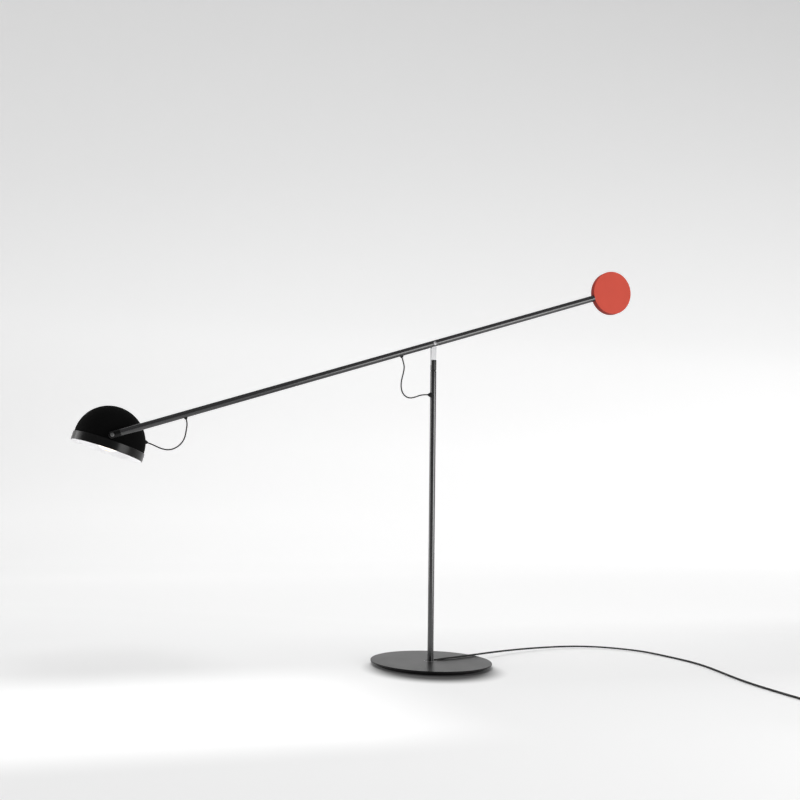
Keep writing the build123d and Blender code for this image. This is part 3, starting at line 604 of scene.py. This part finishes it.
class Finish(Enum):
    """Every finish on the lamp."""

    PLATE = PowderCoat("plate_powder_coat", (0.010, 0.010, 0.010), 0.33, 0.16, 1400.0, 0.00001)
    COLUMN = Lacquer("column_lacquer", (0.004, 0.004, 0.0045), 0.24, 1.0, coat=0.3)
    COLLAR = Lacquer("collar_lacquer", (0.006, 0.006, 0.007), 0.22, 1.0, coat=0.3)
    ARM = Lacquer(
        "arm_lacquer", (0.010, 0.010, 0.011), 0.24, 0.9, (0.0, math.radians(-72.5), 0.0)
    )
    KNUCKLE = Lacquer("knuckle_lacquer", (0.002, 0.002, 0.002), 0.30, 0.2)
    FITTING = Lacquer("fitting_anodising", (0.014, 0.014, 0.015), 0.32, 0.45)
    DOME = PowderCoat("dome_matt_paint", (0.0030, 0.0030, 0.0030), 0.85, 0.04, 2600.0, 0.000012)
    PIN = Lacquer("blackened_pin", (0.008, 0.008, 0.009), 0.35, 0.5)
    BLADE = Metal("blade_satin_steel", (0.50, 0.50, 0.51), 0.36, (1500.0, 1500.0, 40.0))
    ZINC = Metal("zinc_plate", (0.55, 0.56, 0.58), 0.35)
    BLACK_OXIDE = Metal("black_oxide", (0.20, 0.20, 0.20), 0.34)
    POLISHED = Metal("satin_screw", (0.52, 0.52, 0.53), 0.34)
    SPRING = Metal("spring_steel", (0.18, 0.18, 0.20), 0.35)
    TURNED = Metal("turned_aluminium", (0.75, 0.76, 0.77), 0.35)
    NICKEL = Metal("nickel_plate", (0.72, 0.69, 0.63), 0.18)
    RUBBER = Sheath("moulded_rubber", (0.008, 0.008, 0.008), 0.6, 0.3)
    MAINS = Sheath("mains_sheath", (0.020, 0.020, 0.020), 0.38, 0.6)
    LOOP = Sheath("loop_sheath", (0.022, 0.022, 0.022), 0.5, 0.35)
    INNER = Sheath("wire_insulation", (0.05, 0.05, 0.05), 0.45, 0.4)
    PAD = Sheath("foam_rubber_pad", (0.012, 0.012, 0.012), 0.9, 0.15)
    DARK_NYLON = Moulding("dark_nylon", (0.020, 0.020, 0.020), 0.5)
    NYLON = Moulding("natural_nylon", (0.52, 0.51, 0.48), 0.5)
    DRIVER = Moulding("driver_plastic", (0.014, 0.014, 0.015), 0.48, 0.00003)
    # The reflector and the lens retainer carry a painted glow of the lamp's light.
    REFLECTOR = Moulding("white_reflector", (0.78, 0.78, 0.77), 0.5, lit=0.16)
    BOARD = Moulding("board_mask", (0.70, 0.70, 0.68), 0.4)
    CHIP = Moulding("lamp_phosphor", (0.80, 0.62, 0.12), 0.4)

    def material(self) -> bpy.types.Material:
        """The finish's one material, made when it is first asked for."""
        found = bpy.data.materials.get(self.value.name)
        return found or self.value.make()


def dress(frame: dict, finish: bpy.types.Material, *nodes: str) -> None:
    """Give CAD nodes a finish.

    Args:
        frame: The loaded frame.
        finish: The material.
        nodes: The nodes' names.
    """
    for name in nodes:
        mesh = frame["nodes"][name].data
        mesh.materials.clear()
        mesh.materials.append(finish)


# ---------------------------------------------------------------- places on the lamp
@dataclass(frozen=True)
class Layout:
    """Where the lamp's joints and fittings are, from the same sizes as the CAD model."""

    pivot_height: float = 0.537
    gland_height: float = 0.4522
    arm_radius: float = 0.0054
    arm_pitch: float = math.radians(17.5)
    head_reach: float = 0.551
    head_tilt: float = math.radians(17.6)
    head_side: float = 0.0652
    head_rise: float = 0.0069
    dome_radius: float = 0.0572
    dome_skirt: float = 0.0020
    gland_aim: Point = (0.90, -0.30, -0.31)
    gland_elevation: float = math.radians(18.4)

    def arm_point(self, along: float, side: float = 0.0, up: float = 0.0) -> Vector:
        """A place by its distance along the arm, towards +Y and square to the arm's top."""
        c, s = math.cos(self.arm_pitch), math.sin(self.arm_pitch)
        return Vector((along * c - up * s, side, self.pivot_height + along * s + up * c))

    def rim_centre(self) -> Vector:
        """The centre of the dome's rim."""
        hinge = self.arm_point(-self.head_reach, self.head_side)
        return hinge - self.head_up() * self.head_rise

    def head_x(self) -> Vector:
        """The head's own X axis."""
        return Vector((math.cos(self.head_tilt), 0.0, -math.sin(self.head_tilt)))

    def head_up(self) -> Vector:
        """The head's own axis, up through the dome."""
        return Vector((math.sin(self.head_tilt), 0.0, math.cos(self.head_tilt)))

    def head_matrix(self) -> Matrix:
        """The head's own frame as a matrix."""
        turn = Matrix((self.head_x(), Vector((0, 1, 0)), self.head_up())).transposed()
        return Matrix.Translation(self.rim_centre()) @ turn.to_4x4()

    def gland_place(self, reach: float) -> Vector:
        """A place on the head gland's axis.

        Args:
            reach: Its distance out from the dome's surface.

        Returns:
            The place.
        """
        out = self.head_x() * math.cos(self.gland_elevation)
        out += self.head_up() * math.sin(self.gland_elevation)
        middle = self.rim_centre() + self.head_up() * self.dome_skirt
        return middle + out * self.dome_radius + Vector(self.gland_aim).normalized() * reach


# ---------------------------------------------------------------- mesh helpers
def new_object(
    name: str, data: object, body: str | None, slot: str, *nodes: str
) -> bpy.types.Object:
    """Put a finished piece in the scene and on its body.

    Args:
        name: The piece's name.
        data: Its mesh or curve.
        body: The CAD body that it moves with, or None for a piece that lies between two and is
            put on neither.
        slot: The record's material slot for the piece; it is not used.
        nodes: CAD nodes that it stands for.

    Returns:
        The piece's object.
    """
    piece = bpy.data.objects.new(name, data)
    bpy.context.scene.collection.objects.link(piece)
    if body:
        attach(piece, body)
    if nodes:
        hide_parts(*nodes)
    return piece


def settle(shape: bmesh.types.BMesh, name: str, material: bpy.types.Material) -> bpy.types.Mesh:
    """Turn a finished shape into a mesh.

    Args:
        shape: The shape, which is freed.
        name: The mesh's name.
        material: Its material.

    Returns:
        The mesh, smooth shaded, with its faces pointing outwards.
    """
    bmesh.ops.remove_doubles(shape, verts=shape.verts, dist=MERGE_DISTANCE)
    bmesh.ops.recalc_face_normals(shape, faces=shape.faces)
    # Extruding adds faces in an order that changes from run to run.
    shape.verts.index_update()
    count = len(shape.verts)
    places = [sorted(vert.index for vert in face.verts) for face in shape.faces]
    keys = {face: place[0] * count + place[-1] for face, place in zip(shape.faces, places)}
    shape.faces.sort(key=keys.__getitem__)
    mesh = bpy.data.meshes.new(name)
    shape.to_mesh(mesh)
    shape.free()
    mesh.materials.append(material)
    mesh.shade_smooth()
    return mesh


@dataclass
class Route:
    """A cable's line: one smooth spline near given points."""

    name: str
    points: list[Point]
    steps: int = 12
    bevel_steps: int = 5

    def curve(self, bevel: float) -> bpy.types.Curve:
        """The spline as a curve.

        Args:
            bevel: The radius of its tube, or 0 for a bare line.

        Returns:
            The curve.
        """
        curve = bpy.data.curves.new(self.name, "CURVE")
        curve.dimensions = "3D"
        curve.resolution_u = self.steps
        curve.bevel_depth = bevel
        curve.bevel_resolution = self.bevel_steps
        curve.use_fill_caps = True
        line = curve.splines.new("NURBS")
        line.points.add(len(self.points) - 1)
        for point, place in zip(line.points, self.points):
            point.co = (*place, 1.0)
        line.order_u = 3
        line.use_endpoint_u = True
        return curve

    def samples(self) -> list[Vector]:
        """Read points from the spline.

        Returns:
            The points, from its start to its end.
        """
        carrier = bpy.data.objects.new(f"{self.name}_line", self.curve(0.0))
        mesh = bpy.data.meshes.new_from_object(carrier)
        places = [vertex.co.copy() for vertex in mesh.vertices]
        bpy.data.objects.remove(carrier)
        bpy.data.meshes.remove(mesh)
        return places

    def length(self) -> float:
        """The spline's length."""
        places = self.samples()
        return sum((b - a).length for a, b in zip(places, places[1:]))


def tube_mesh(
    name: str, path: list[Vector], radius: float, material: bpy.types.Material, sides: int = 20
) -> bpy.types.Mesh:
    """A closed round tube along a path.

    Args:
        name: The mesh's name.
        path: The points that its middle line follows.
        radius: The tube's radius.
        material: Its material.
        sides: How many sides its section has.

    Returns:
        The mesh.
    """
    shape = bmesh.new()
    heading = (path[1] - path[0]).normalized()
    start = Matrix.Translation(path[0]) @ heading.to_track_quat("Z", "Y").to_matrix().to_4x4()
    bmesh.ops.create_circle(shape, segments=sides, radius=radius, cap_ends=True, matrix=start)
    edges = shape.edges[:]
    for index in range(1, len(path)):
        made = bmesh.ops.extrude_edge_only(shape, edges=edges)["geom"]
        verts = [item for item in made if isinstance(item, bmesh.types.BMVert)]
        edges = [item for item in made if isinstance(item, bmesh.types.BMEdge)]
        ahead = path[min(index + 1, len(path) - 1)] - path[index - 1]
        turn = heading.rotation_difference(ahead.normalized()).to_matrix()
        shift = path[index] - path[index - 1]
        bmesh.ops.rotate(shape, verts=verts, cent=path[index - 1], matrix=turn)
        bmesh.ops.translate(shape, verts=verts, vec=shift)
        heading = ahead.normalized()
    bmesh.ops.contextual_create(shape, geom=edges)
    return settle(shape, name, material)


# ---------------------------------------------------------------- base and column
@dataclass
class Base:
    """The round plate with its pad and the foot that holds the column."""

    foot_edge: float = 0.0098
    blackened: Colour = (0.012, 0.012, 0.012)
    bare: Colour = (0.42, 0.42, 0.42)

    def foot_metal(self) -> bpy.types.Material:
        """The foot's finish, blackened inside a bare turned edge."""
        metal = TwoTone("foot_metal", self.blackened, self.bare, self.foot_edge, edge=0.0002)
        return metal.make_on(Matrix())

    def build(self, frame: dict) -> None:
        """Dress the base.

        Args:
            frame: The loaded frame.
        """
        dress(frame, Finish.PLATE.material(), "base_plate")
        dress(frame, self.foot_metal(), "column_foot")
        dress(frame, Finish.PAD.material(), "base_pad")
        dress(frame, Finish.ZINC.material(), "foot_screws")
        dress(frame, Finish.RUBBER.material(), "exit_relief")
        log.info("base: plate, pad, foot, screws and cable relief")


@dataclass
class Column:
    """The upright tube, with its gland and the fittings at its top."""

    def build(self, frame: dict) -> None:
        """Dress the column and the swivel.

        Args:
            frame: The loaded frame.
        """
        dress(frame, Finish.COLUMN.material(), "column_tube")
        dress(frame, Finish.RUBBER.material(), "column_gland")
        dress(frame, Finish.DARK_NYLON.material(), "column_bush")
        dress(frame, Finish.INNER.material(), "column_cable")
        dress(frame, Finish.RUBBER.material(), "swivel_washer")
        dress(frame, Finish.COLLAR.material(), "swivel_collar")
        dress(frame, Finish.ZINC.material(), "swivel_spindle")
        dress(frame, Finish.PIN.material(), "collar_pin")
        dress(frame, Finish.SPRING.material(), "spindle_clip")
        dress(frame, Finish.BLADE.material(), "tongue_blade")
        log.info("column: tube, gland, bush, swivel and tongue")


@dataclass
class Arm:
    """The long tube, its pivot, its head-end knuckle and the counterweight."""

    layout: Layout
    disc_middle: float = 0.3503
    disc_edge: float = 0.0364
    enamel: Colour = (0.555, 0.073, 0.047)
    # Painted shade on the disc's rim: a darker enamel there.
    enamel_shaded_rim: Colour = (0.25, 0.026, 0.018)

    def disc_enamel(self) -> bpy.types.Material:
        """The counterweight's enamel, with painted shade on the rim.

        Returns:
            The material.
        """
        middle = self.layout.arm_point(self.disc_middle)
        frame = Matrix.Translation(middle) @ Matrix.Rotation(math.radians(90), 4, "X")
        finish = TwoTone(
            "disc_enamel",
            self.enamel,
            self.enamel_shaded_rim,
            self.disc_edge,
            edge=0.0003,
            roughness=(0.62, 0.62),
            gloss=0.2,
        )
        return finish.make_on(frame)

    def build(self, frame: dict) -> None:
        """Dress the arm and the counterweight.

        Args:
            frame: The loaded frame.
        """
        dress(frame, Finish.ARM.material(), "arm_tube")
        dress(frame, Finish.KNUCKLE.material(), "arm_knuckle")
        dress(frame, Finish.TURNED.material(), "arm_clevis", "arm_end_plug")
        dress(frame, Finish.POLISHED.material(), "pivot_screw")
        dress(frame, Finish.ZINC.material(), "pivot_nut", "counterweight_stud")
        dress(frame, Finish.NYLON.material(), "pivot_washers")
        dress(frame, Finish.RUBBER.material(), "arm_gland_column_end", "arm_gland_head_end")
        dress(frame, Finish.INNER.material(), "arm_cable")
        dress(frame, self.disc_enamel(), "counterweight_disc")
        log.info("arm: tube, knuckle, pivot, glands and counterweight")


@dataclass
class Head:
    """The domed lamp head with its lit underside."""

    layout: Layout
    ring_edge: float = 0.0574
    ring_paint: Colour = (0.93, 0.93, 0.95)
    ring_black: Colour = (0.003, 0.003, 0.003)
    # Painted glow: emission inside the ring stands in for the lens's light on it.
    ring_lit: float = 0.13
    lens_drop: float = 0.010
    glow_strength: float = 1.15
    glow_reach: float = 0.020
    warm: Colour = (1.0, 0.70, 0.34)
    pale: Colour = (0.94, 0.92, 0.90)

    def ring_finish(self) -> bpy.types.Material:
        """The ring's finish: white paint inside with a painted glow of the lens's light, black
        outside.

        Returns:
            The material.
        """
        ring = TwoTone(
            "ring_anodising",
            self.ring_paint,
            self.ring_black,
            self.ring_edge,
            edge=0.0001,
            roughness=(0.55, 0.24),
            gloss=0.25,
            lit=self.ring_lit,
        )
        return ring.make_on(self.layout.head_matrix())

    def lit_lens(self) -> bpy.types.Material:
        """The opal lens's material, lit from inside."""
        bottom = self.layout.rim_centre() - self.layout.head_up() * self.lens_drop
        return Glow(
            "lit_opal", tuple(bottom), self.warm, self.pale, self.glow_strength, self.glow_reach
        ).make()

    def build(self, frame: dict) -> None:
        """Dress the head.

        Args:
            frame: The loaded frame.
        """
        dress(frame, Finish.DOME.material(), "head_dome")
        dress(frame, self.ring_finish(), "head_ring")
        dress(frame, Finish.FITTING.material(), "hinge_spacer")
        dress(frame, Finish.TURNED.material(), "hinge_boss", "led_tray")
        dress(frame, Finish.BLACK_OXIDE.material(), "hinge_screw")
        dress(frame, Finish.ZINC.material(), "hinge_nut", "tray_screws")
        dress(frame, Finish.REFLECTOR.material(), "reflector", "lens_retainer")
        dress(frame, Finish.BOARD.material(), "led_board")
        dress(frame, Finish.CHIP.material(), "led_chips")
        dress(frame, self.lit_lens(), "led_lens")
        dress(frame, Finish.RUBBER.material(), "head_gland")
        dress(frame, Finish.INNER.material(), "head_cable")
        log.info("head: dome, ring, hinge, reflector and lens")


# ---------------------------------------------------------------- cables
@dataclass
class MainsCable:
    """The mains cable: a free stretch, a stored coil and the plug-in driver."""

    thickness: float = 0.0032
    floor_gap: float = 0.0003
    coil_pitch: float = 0.0037
    coil_middle_radius: float = 0.0192
    coil_turns_each_way: float = 3.25
    points_per_turn: int = 12
    coil_entry: tuple[float, float] = (0.390, -0.445)
    lead_gap: float = 0.028
    lead_lift: float = 0.004
    driver_level: float = 0.018
    free_points: tuple[Point, ...] = (
        (0.0111, 0.0013, 0.0083),
        (0.0249, 0.0029, 0.0099),
        (0.0457, 0.0074, 0.0100),
        (0.0727, 0.0179, 0.0101),
        (0.1064, 0.0314, 0.0100),
        (0.1459, 0.0514, 0.0089),
        (0.1822, 0.0697, 0.0074),
        (0.2216, 0.0862, 0.0062),
        (0.2672, 0.0990, 0.0052),
        (0.3134, 0.1060, 0.0046),
        (0.3533, 0.1032, 0.0043),
        (0.3876, 0.0888, 0.0040),
        (0.4164, 0.0648, 0.0034),
        (0.4370, 0.0357, 0.0029),
        (0.4447, 0.0044, 0.0024),
        (0.4487, -0.0305, 0.0021),
        (0.4507, -0.0691, 0.0019),
        (0.4455, -0.1094, 0.0019),
        (0.4312, -0.1582, 0.0019),
        (0.4147, -0.2092, 0.0019),
        (0.4028, -0.2605, 0.0019),
        (0.3958, -0.3109, 0.0019),
        (0.3906, -0.3560, 0.0019),
        (0.3900, -0.4000, 0.0019),
        (0.3900, -0.4418, 0.0019),
    )

    def coil_points(self) -> list[Point]:
        """Control points of the coil, which spirals in on the floor and out again on top.

        Returns:
            The points, a little outside the coil's line.
        """
        turns = 2 * self.coil_turns_each_way + 0.5
        inner = self.coil_middle_radius - self.coil_pitch * self.coil_turns_each_way / 2
        outer = inner + self.coil_pitch * self.coil_turns_each_way
        centre_x, centre_y = self.coil_entry[0] + outer, self.coil_entry[1]
        level = self.thickness / 2 + self.floor_gap
        widen = 1 / math.cos(math.pi / self.points_per_turn)
        points = []
        for step in range(round(turns * self.points_per_turn)):
            turn = (step + 0.5) / self.points_per_turn
            away = abs(turn - turns / 2)
            radius = (inner + self.coil_pitch * (away - 0.25)) * widen
            share = min(max((turn - turns / 2) * 2 + 0.5, 0.0), 1.0)
            climb = self.coil_pitch * (1 - math.cos(math.pi * share)) / 2
            angle = math.pi + 2 * math.pi * turn
            x = centre_x + radius * math.cos(angle)
            y = centre_y + radius * math.sin(angle)
            points.append((x, y, level + climb))
        points.append((self.coil_entry[0], centre_y - self.thickness, level + self.coil_pitch))
        return points

    def lead_points(self) -> list[Point]:
        """Control points of the short lead from the coil to the driver.

        Returns:
            The points, a quarter of the lead apart.
        """
        x, y = self.coil_entry
        start = y - self.thickness
        step = self.lead_gap / 4
        low = self.thickness / 2 + self.floor_gap + self.coil_pitch
        return [
            (x, start - step, low),
            (x, start - 2 * step, low + self.lead_lift),
            (x, start - 3 * step, self.driver_level),
            (x, start - self.lead_gap, self.driver_level),
        ]

    def build(self, frame: dict) -> None:
        """Make the cable, its coil and lead, and dress the driver.

        Args:
            frame: The loaded frame.
        """
        dress(frame, Finish.DRIVER.material(), "driver_case", "driver_cover")
        dress(frame, Finish.NICKEL.material(), "driver_pins")
        dress(frame, Finish.RUBBER.material(), "driver_relief")
        points = [*self.free_points, *self.coil_points(), *self.lead_points()]
        route = Route("mains_line", points)
        curve = route.curve(self.thickness / 2)
        curve.materials.append(Finish.MAINS.material())
        replaced = ("mains_cable", "mains_coil", "driver_lead")
        piece = new_object("mains_cord", curve, "stand", "mains_sheath", *replaced)
        length = route.length()
        log.info("mains cable: %.2f m long, with its coil and driver", length)


@dataclass
class Loops:
    """The two slack loops, at the arm's pivot and at the head."""

    layout: Layout
    arm_gland_height: float = 0.0025
    head_gland_height: float = 0.0034
    column_gland_reach: float = 0.0092
    pivot_gland: float = -0.0608
    head_gland: float = -0.435
    pivot_lead: float = 0.007
    head_lead: float = 0.006
    dome_lead: float = 0.007
    thickness: float = 0.0022

    def under_arm(self, along: float, reach: float) -> Point:
        """A place below an arm gland's tip."""
        up = -self.layout.arm_radius - self.arm_gland_height - reach
        return tuple(self.layout.arm_point(along, 0.0, up))

    def pivot_points(self) -> list[Point]:
        """Control points of the loop at the pivot, from the arm to the column."""
        return [
            self.under_arm(self.pivot_gland, 0.0),
            self.under_arm(self.pivot_gland, self.pivot_lead),
            (-0.0512, 0.0006, 0.4963),
            (-0.0526, 0.0012, 0.4866),
            (-0.0554, 0.0016, 0.4764),
            (-0.0566, 0.0018, 0.4652),
            (-0.0545, 0.0018, 0.4549),
            (-0.0487, 0.0016, 0.4480),
            (-0.0405, 0.0012, 0.4454),
            (-0.0317, 0.0008, 0.4475),
            (-0.0227, 0.0004, 0.4510),
            (-0.0145, 0.0000, 0.4522),
            (-self.column_gland_reach, 0.0, self.layout.gland_height),
        ]

    def head_points(self) -> list[Point]:
        """Control points of the loop at the head, from the arm to the dome."""
        return [
            self.under_arm(self.head_gland, 0.0),
            self.under_arm(self.head_gland, self.head_lead),
            (-0.4118, 0.0045, 0.3825),
            (-0.4127, 0.0115, 0.3723),
            (-0.4171, 0.0200, 0.3628),
            (-0.4252, 0.0295, 0.3562),
            (-0.4344, 0.0385, 0.3535),
            (-0.4436, 0.0475, 0.3553),
            (-0.4520, 0.0555, 0.3594),
            tuple(self.layout.gland_place(self.head_gland_height + self.dome_lead)),
            tuple(self.layout.gland_place(self.head_gland_height)),
        ]

    def build(self, frame: dict) -> None:
        """Make both loops as mesh tubes.

        Args:
            frame: The loaded frame, which the loops don't need.
        """
        pivot = Route("pivot_loop", self.pivot_points()).samples()
        lowest = min(range(len(pivot)), key=lambda index: pivot[index].z)
        upper, lower = pivot[: lowest + 1], pivot[lowest:]
        self.tube("pivot_loop_upper", "pivot_loop_cable", upper)
        self.tube("pivot_loop_lower", "pivot_loop_cable", lower)
        head = Route("head_loop", self.head_points()).samples()
        self.tube("head_loop", "head_loop_cable", head)
        log.info("loops: at the pivot and at the head")

    def tube(self, name: str, node: str, path: list[Vector]) -> None:
        """Make one tube, a free cord between two fittings, on no body.

        Args:
            name: The piece's name.
            node: The CAD node that it stands for.
            path: The points that it follows.
        """
        mesh = tube_mesh(name, path, self.thickness / 2, Finish.LOOP.material())
        piece = new_object(name, mesh, None, "loop_sheath", node)
        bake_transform(piece)
        sum((b - a).length for a, b in zip(path, path[1:]))


# ---------------------------------------------------------------- studio
@dataclass(frozen=True)
class Softbox:
    """A rectangular area light that the camera itself doesn't see."""

    name: str
    place: Point
    aim: Point
    size: tuple[float, float]
    power: float
    mirrored: bool = True

    def build(self) -> None:
        """Add the light, pointing at its aim."""
        data = bpy.data.lights.new(self.name, "AREA")
        data.shape = "RECTANGLE"
        data.size, data.size_y = self.size
        data.energy = self.power
        light = bpy.data.objects.new(self.name, data)
        light.location = self.place
        light.visible_camera = False
        light.visible_glossy = self.mirrored
        light.rotation_mode = "QUATERNION"
        ahead = Vector(self.aim) - Vector(self.place)
        light.rotation_quaternion = ahead.to_track_quat("-Z", "Y")
        bpy.context.scene.collection.objects.link(light)


@dataclass
class Studio:
    """A pale floor that curves up into a backdrop, plain soft lights and the camera."""

    lens: float = 36.680
    camera_place: Point = (-0.57475, -1.26628, 0.25031)
    azimuth: float = math.radians(13.182)
    pitch: float = math.radians(-1.428)
    roll: float = math.radians(0.297)
    shift: tuple[float, float] = (0.16271, 0.16951)
    sensor_width: float = 36.0
    clip: tuple[float, float] = (0.05, 60.0)
    floor_half_width: float = 14.0
    floor_front: float = -5.0
    bend_start: float = 3.0
    bend_radius: float = 1.5
    bend_steps: int = 16
    wall_height: float = 6.0
    room_tone: float = 0.25
    softboxes: tuple[Softbox, ...] = (
        Softbox("overhead", (-0.4, -0.3, 2.4), (-0.1, -0.2, 0.0), (1.8, 1.8), 40.0, False),
        Softbox("key", (0.85, -1.15, 0.36), (0.0, 0.0, 0.36), (1.1, 0.7), 11.0),
        Softbox("side", (-2.0, 0.7, 0.5), (-0.5, 0.0, 0.35), (1.0, 1.0), 9.5),
    )
    open_paint: Colour = (0.80, 0.80, 0.80)
    shaded_paint: Colour = (0.08, 0.08, 0.08)
    paint_grain: float = 60.0
    paint_roughness: float = 0.9
    pool_tone: float = 0.21
    pool_front: tuple[float, float] = (-0.48, -0.36)
    pool_back: tuple[float, float] = (0.08, -0.14)
    pool_left: tuple[float, float] = (-1.4, -0.8)
    pool_right: tuple[float, float] = (-0.04, -0.28)
    shade_centre: Point = (-0.013, -0.038, 0.0)
    shade_reach: tuple[float, float] = (0.072, 0.122)
    lit_depth: tuple[float, float] = (-1.0, 11.0)
    lit_width: tuple[float, float] = (-1.0, 5.0)
    lit_left: tuple[tuple[float, float], ...] = (
        (0.12, 0.00),
        (0.25, 0.40),
        (0.42, 0.51),
        (0.60, 0.42),
        (1.00, 0.28),
    )
    lit_right: tuple[tuple[float, float], ...] = (
        (0.07, 0.00),
        (0.12, 0.98),
        (0.24, 0.73),
        (0.50, 0.73),
        (0.60, 0.50),
        (1.00, 0.23),
    )

    def camera(self) -> None:
        """Place the camera where the photograph was taken from."""
        level = math.cos(self.pitch)
        ahead = Vector(
            (math.sin(self.azimuth) * level, math.cos(self.azimuth) * level, math.sin(self.pitch))
        )
        right = Vector((math.cos(self.azimuth), -math.sin(self.azimuth), 0.0))
        up = right.cross(ahead)
        c, s = math.cos(self.roll), math.sin(self.roll)
        turned = Matrix((right * c + up * s, up * c - right * s, -ahead)).transposed()
        data = bpy.data.cameras.new("camera")
        data.lens = self.lens
        data.sensor_width = self.sensor_width
        data.shift_x, data.shift_y = self.shift
        data.clip_start, data.clip_end = self.clip
        camera = bpy.data.objects.new("camera", data)
        camera.matrix_world = Matrix.Translation(self.camera_place) @ turned.to_4x4()
        bpy.context.scene.collection.objects.link(camera)
        bpy.context.scene.camera = camera

    def sweep_paint(self) -> bpy.types.Material:
        """The sweep's material: matt paint, with a painted glow that rises up the backdrop.

        A painted pool of light lies on the floor under the lamp's head, and a painted shadow
        round the base.

        Returns:
            The material.
        """
        graph = Graph("studio_sweep")
        x, y, z = graph.axis(0), graph.axis(1), graph.axis(2)
        along = graph.share(y + z, *self.lit_depth, smooth=False)
        across = graph.share(x, *self.lit_width, smooth=False)
        left, right = graph.ramp(along, *self.lit_left), graph.ramp(along, *self.lit_right)
        # Painted pool of light: paler emission over a patch of the front floor.
        pool = graph.share(y, *self.pool_front) * graph.share(y, *self.pool_back)
        pool = pool * graph.share(x, *self.pool_right) * graph.share(x, *self.pool_left)
        lit = graph.blend(pool, graph.blend(across, left, right), (self.pool_tone,) * 3)
        # Painted shadow round the base: the floor's colour darkens near it.
        beside = graph.radial(Matrix.Translation(self.shade_centre))
        open_floor = graph.share(beside, *self.shade_reach)
        fine = graph.noise(graph.place(), self.paint_grain)
        return graph.surface(
            Base_Color=graph.blend(open_floor, self.shaded_paint, self.open_paint),
            Roughness=(fine - 0.5) * 0.05 + self.paint_roughness,
            Specular_IOR_Level=0.0,
            Emission_Color=lit,
            Emission_Strength=1.0,
        )

    def floor(self) -> None:
        """Make the floor and the backdrop as one sweep."""
        shape = bmesh.new()
        middle = (self.floor_front + self.bend_start) / 2
        half_depth = (self.bend_start - self.floor_front) / 2
        size = Matrix.Diagonal((self.floor_half_width, half_depth, 1.0, 1.0))
        bmesh.ops.create_grid(
            shape,
            x_segments=1,
            y_segments=1,
            size=1.0,
            matrix=Matrix.Translation((0, middle, 0)) @ size,
        )
        back = [edge for edge in shape.edges if all(vert.co.y > middle for vert in edge.verts)]
        swept = bmesh.ops.spin(
            shape,
            geom=back,
            cent=(0, self.bend_start, self.bend_radius),
            axis=(1, 0, 0),
            dvec=(0, 0, 0),
            angle=math.radians(90),
            steps=self.bend_steps,
        )["geom_last"]
        top = [item for item in swept if isinstance(item, bmesh.types.BMEdge)]
        wall = bmesh.ops.extrude_edge_only(shape, edges=top)["geom"]
        rim = [item for item in wall if isinstance(item, bmesh.types.BMVert)]
        bmesh.ops.translate(shape, verts=rim, vec=(0, 0, self.wall_height))
        mesh = settle(shape, "sweep", self.sweep_paint())
        sweep = bpy.data.objects.new("sweep", mesh)
        bpy.context.scene.collection.objects.link(sweep)

    def world(self) -> None:
        """Fill the room with even light."""
        world = bpy.data.worlds.new("room")
        world.use_nodes = True
        background = world.node_tree.nodes["Background"]
        background.inputs["Color"].default_value = (*WHITE, 1.0)
        background.inputs["Strength"].default_value = self.room_tone
        bpy.context.scene.world = world

    def build(self) -> None:
        """Set up the whole studio."""
        self.camera()
        self.floor()
        self.world()
        for light in self.softboxes:
            light.build()
        bpy.context.scene.view_settings.view_transform = "Standard"
        log.info("studio: sweep, softboxes and camera")


def main() -> None:
    """Load the frame, dress every part, add the cables and set the studio."""
    logging.basicConfig(level=logging.INFO, format="%(message)s")
    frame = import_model()
    layout = Layout()
    for part in (Base(), Column(), Arm(layout), Head(layout), MainsCable(), Loops(layout)):
        part.build(frame)
    Studio().build()


if __name__ == "__main__":
    main()
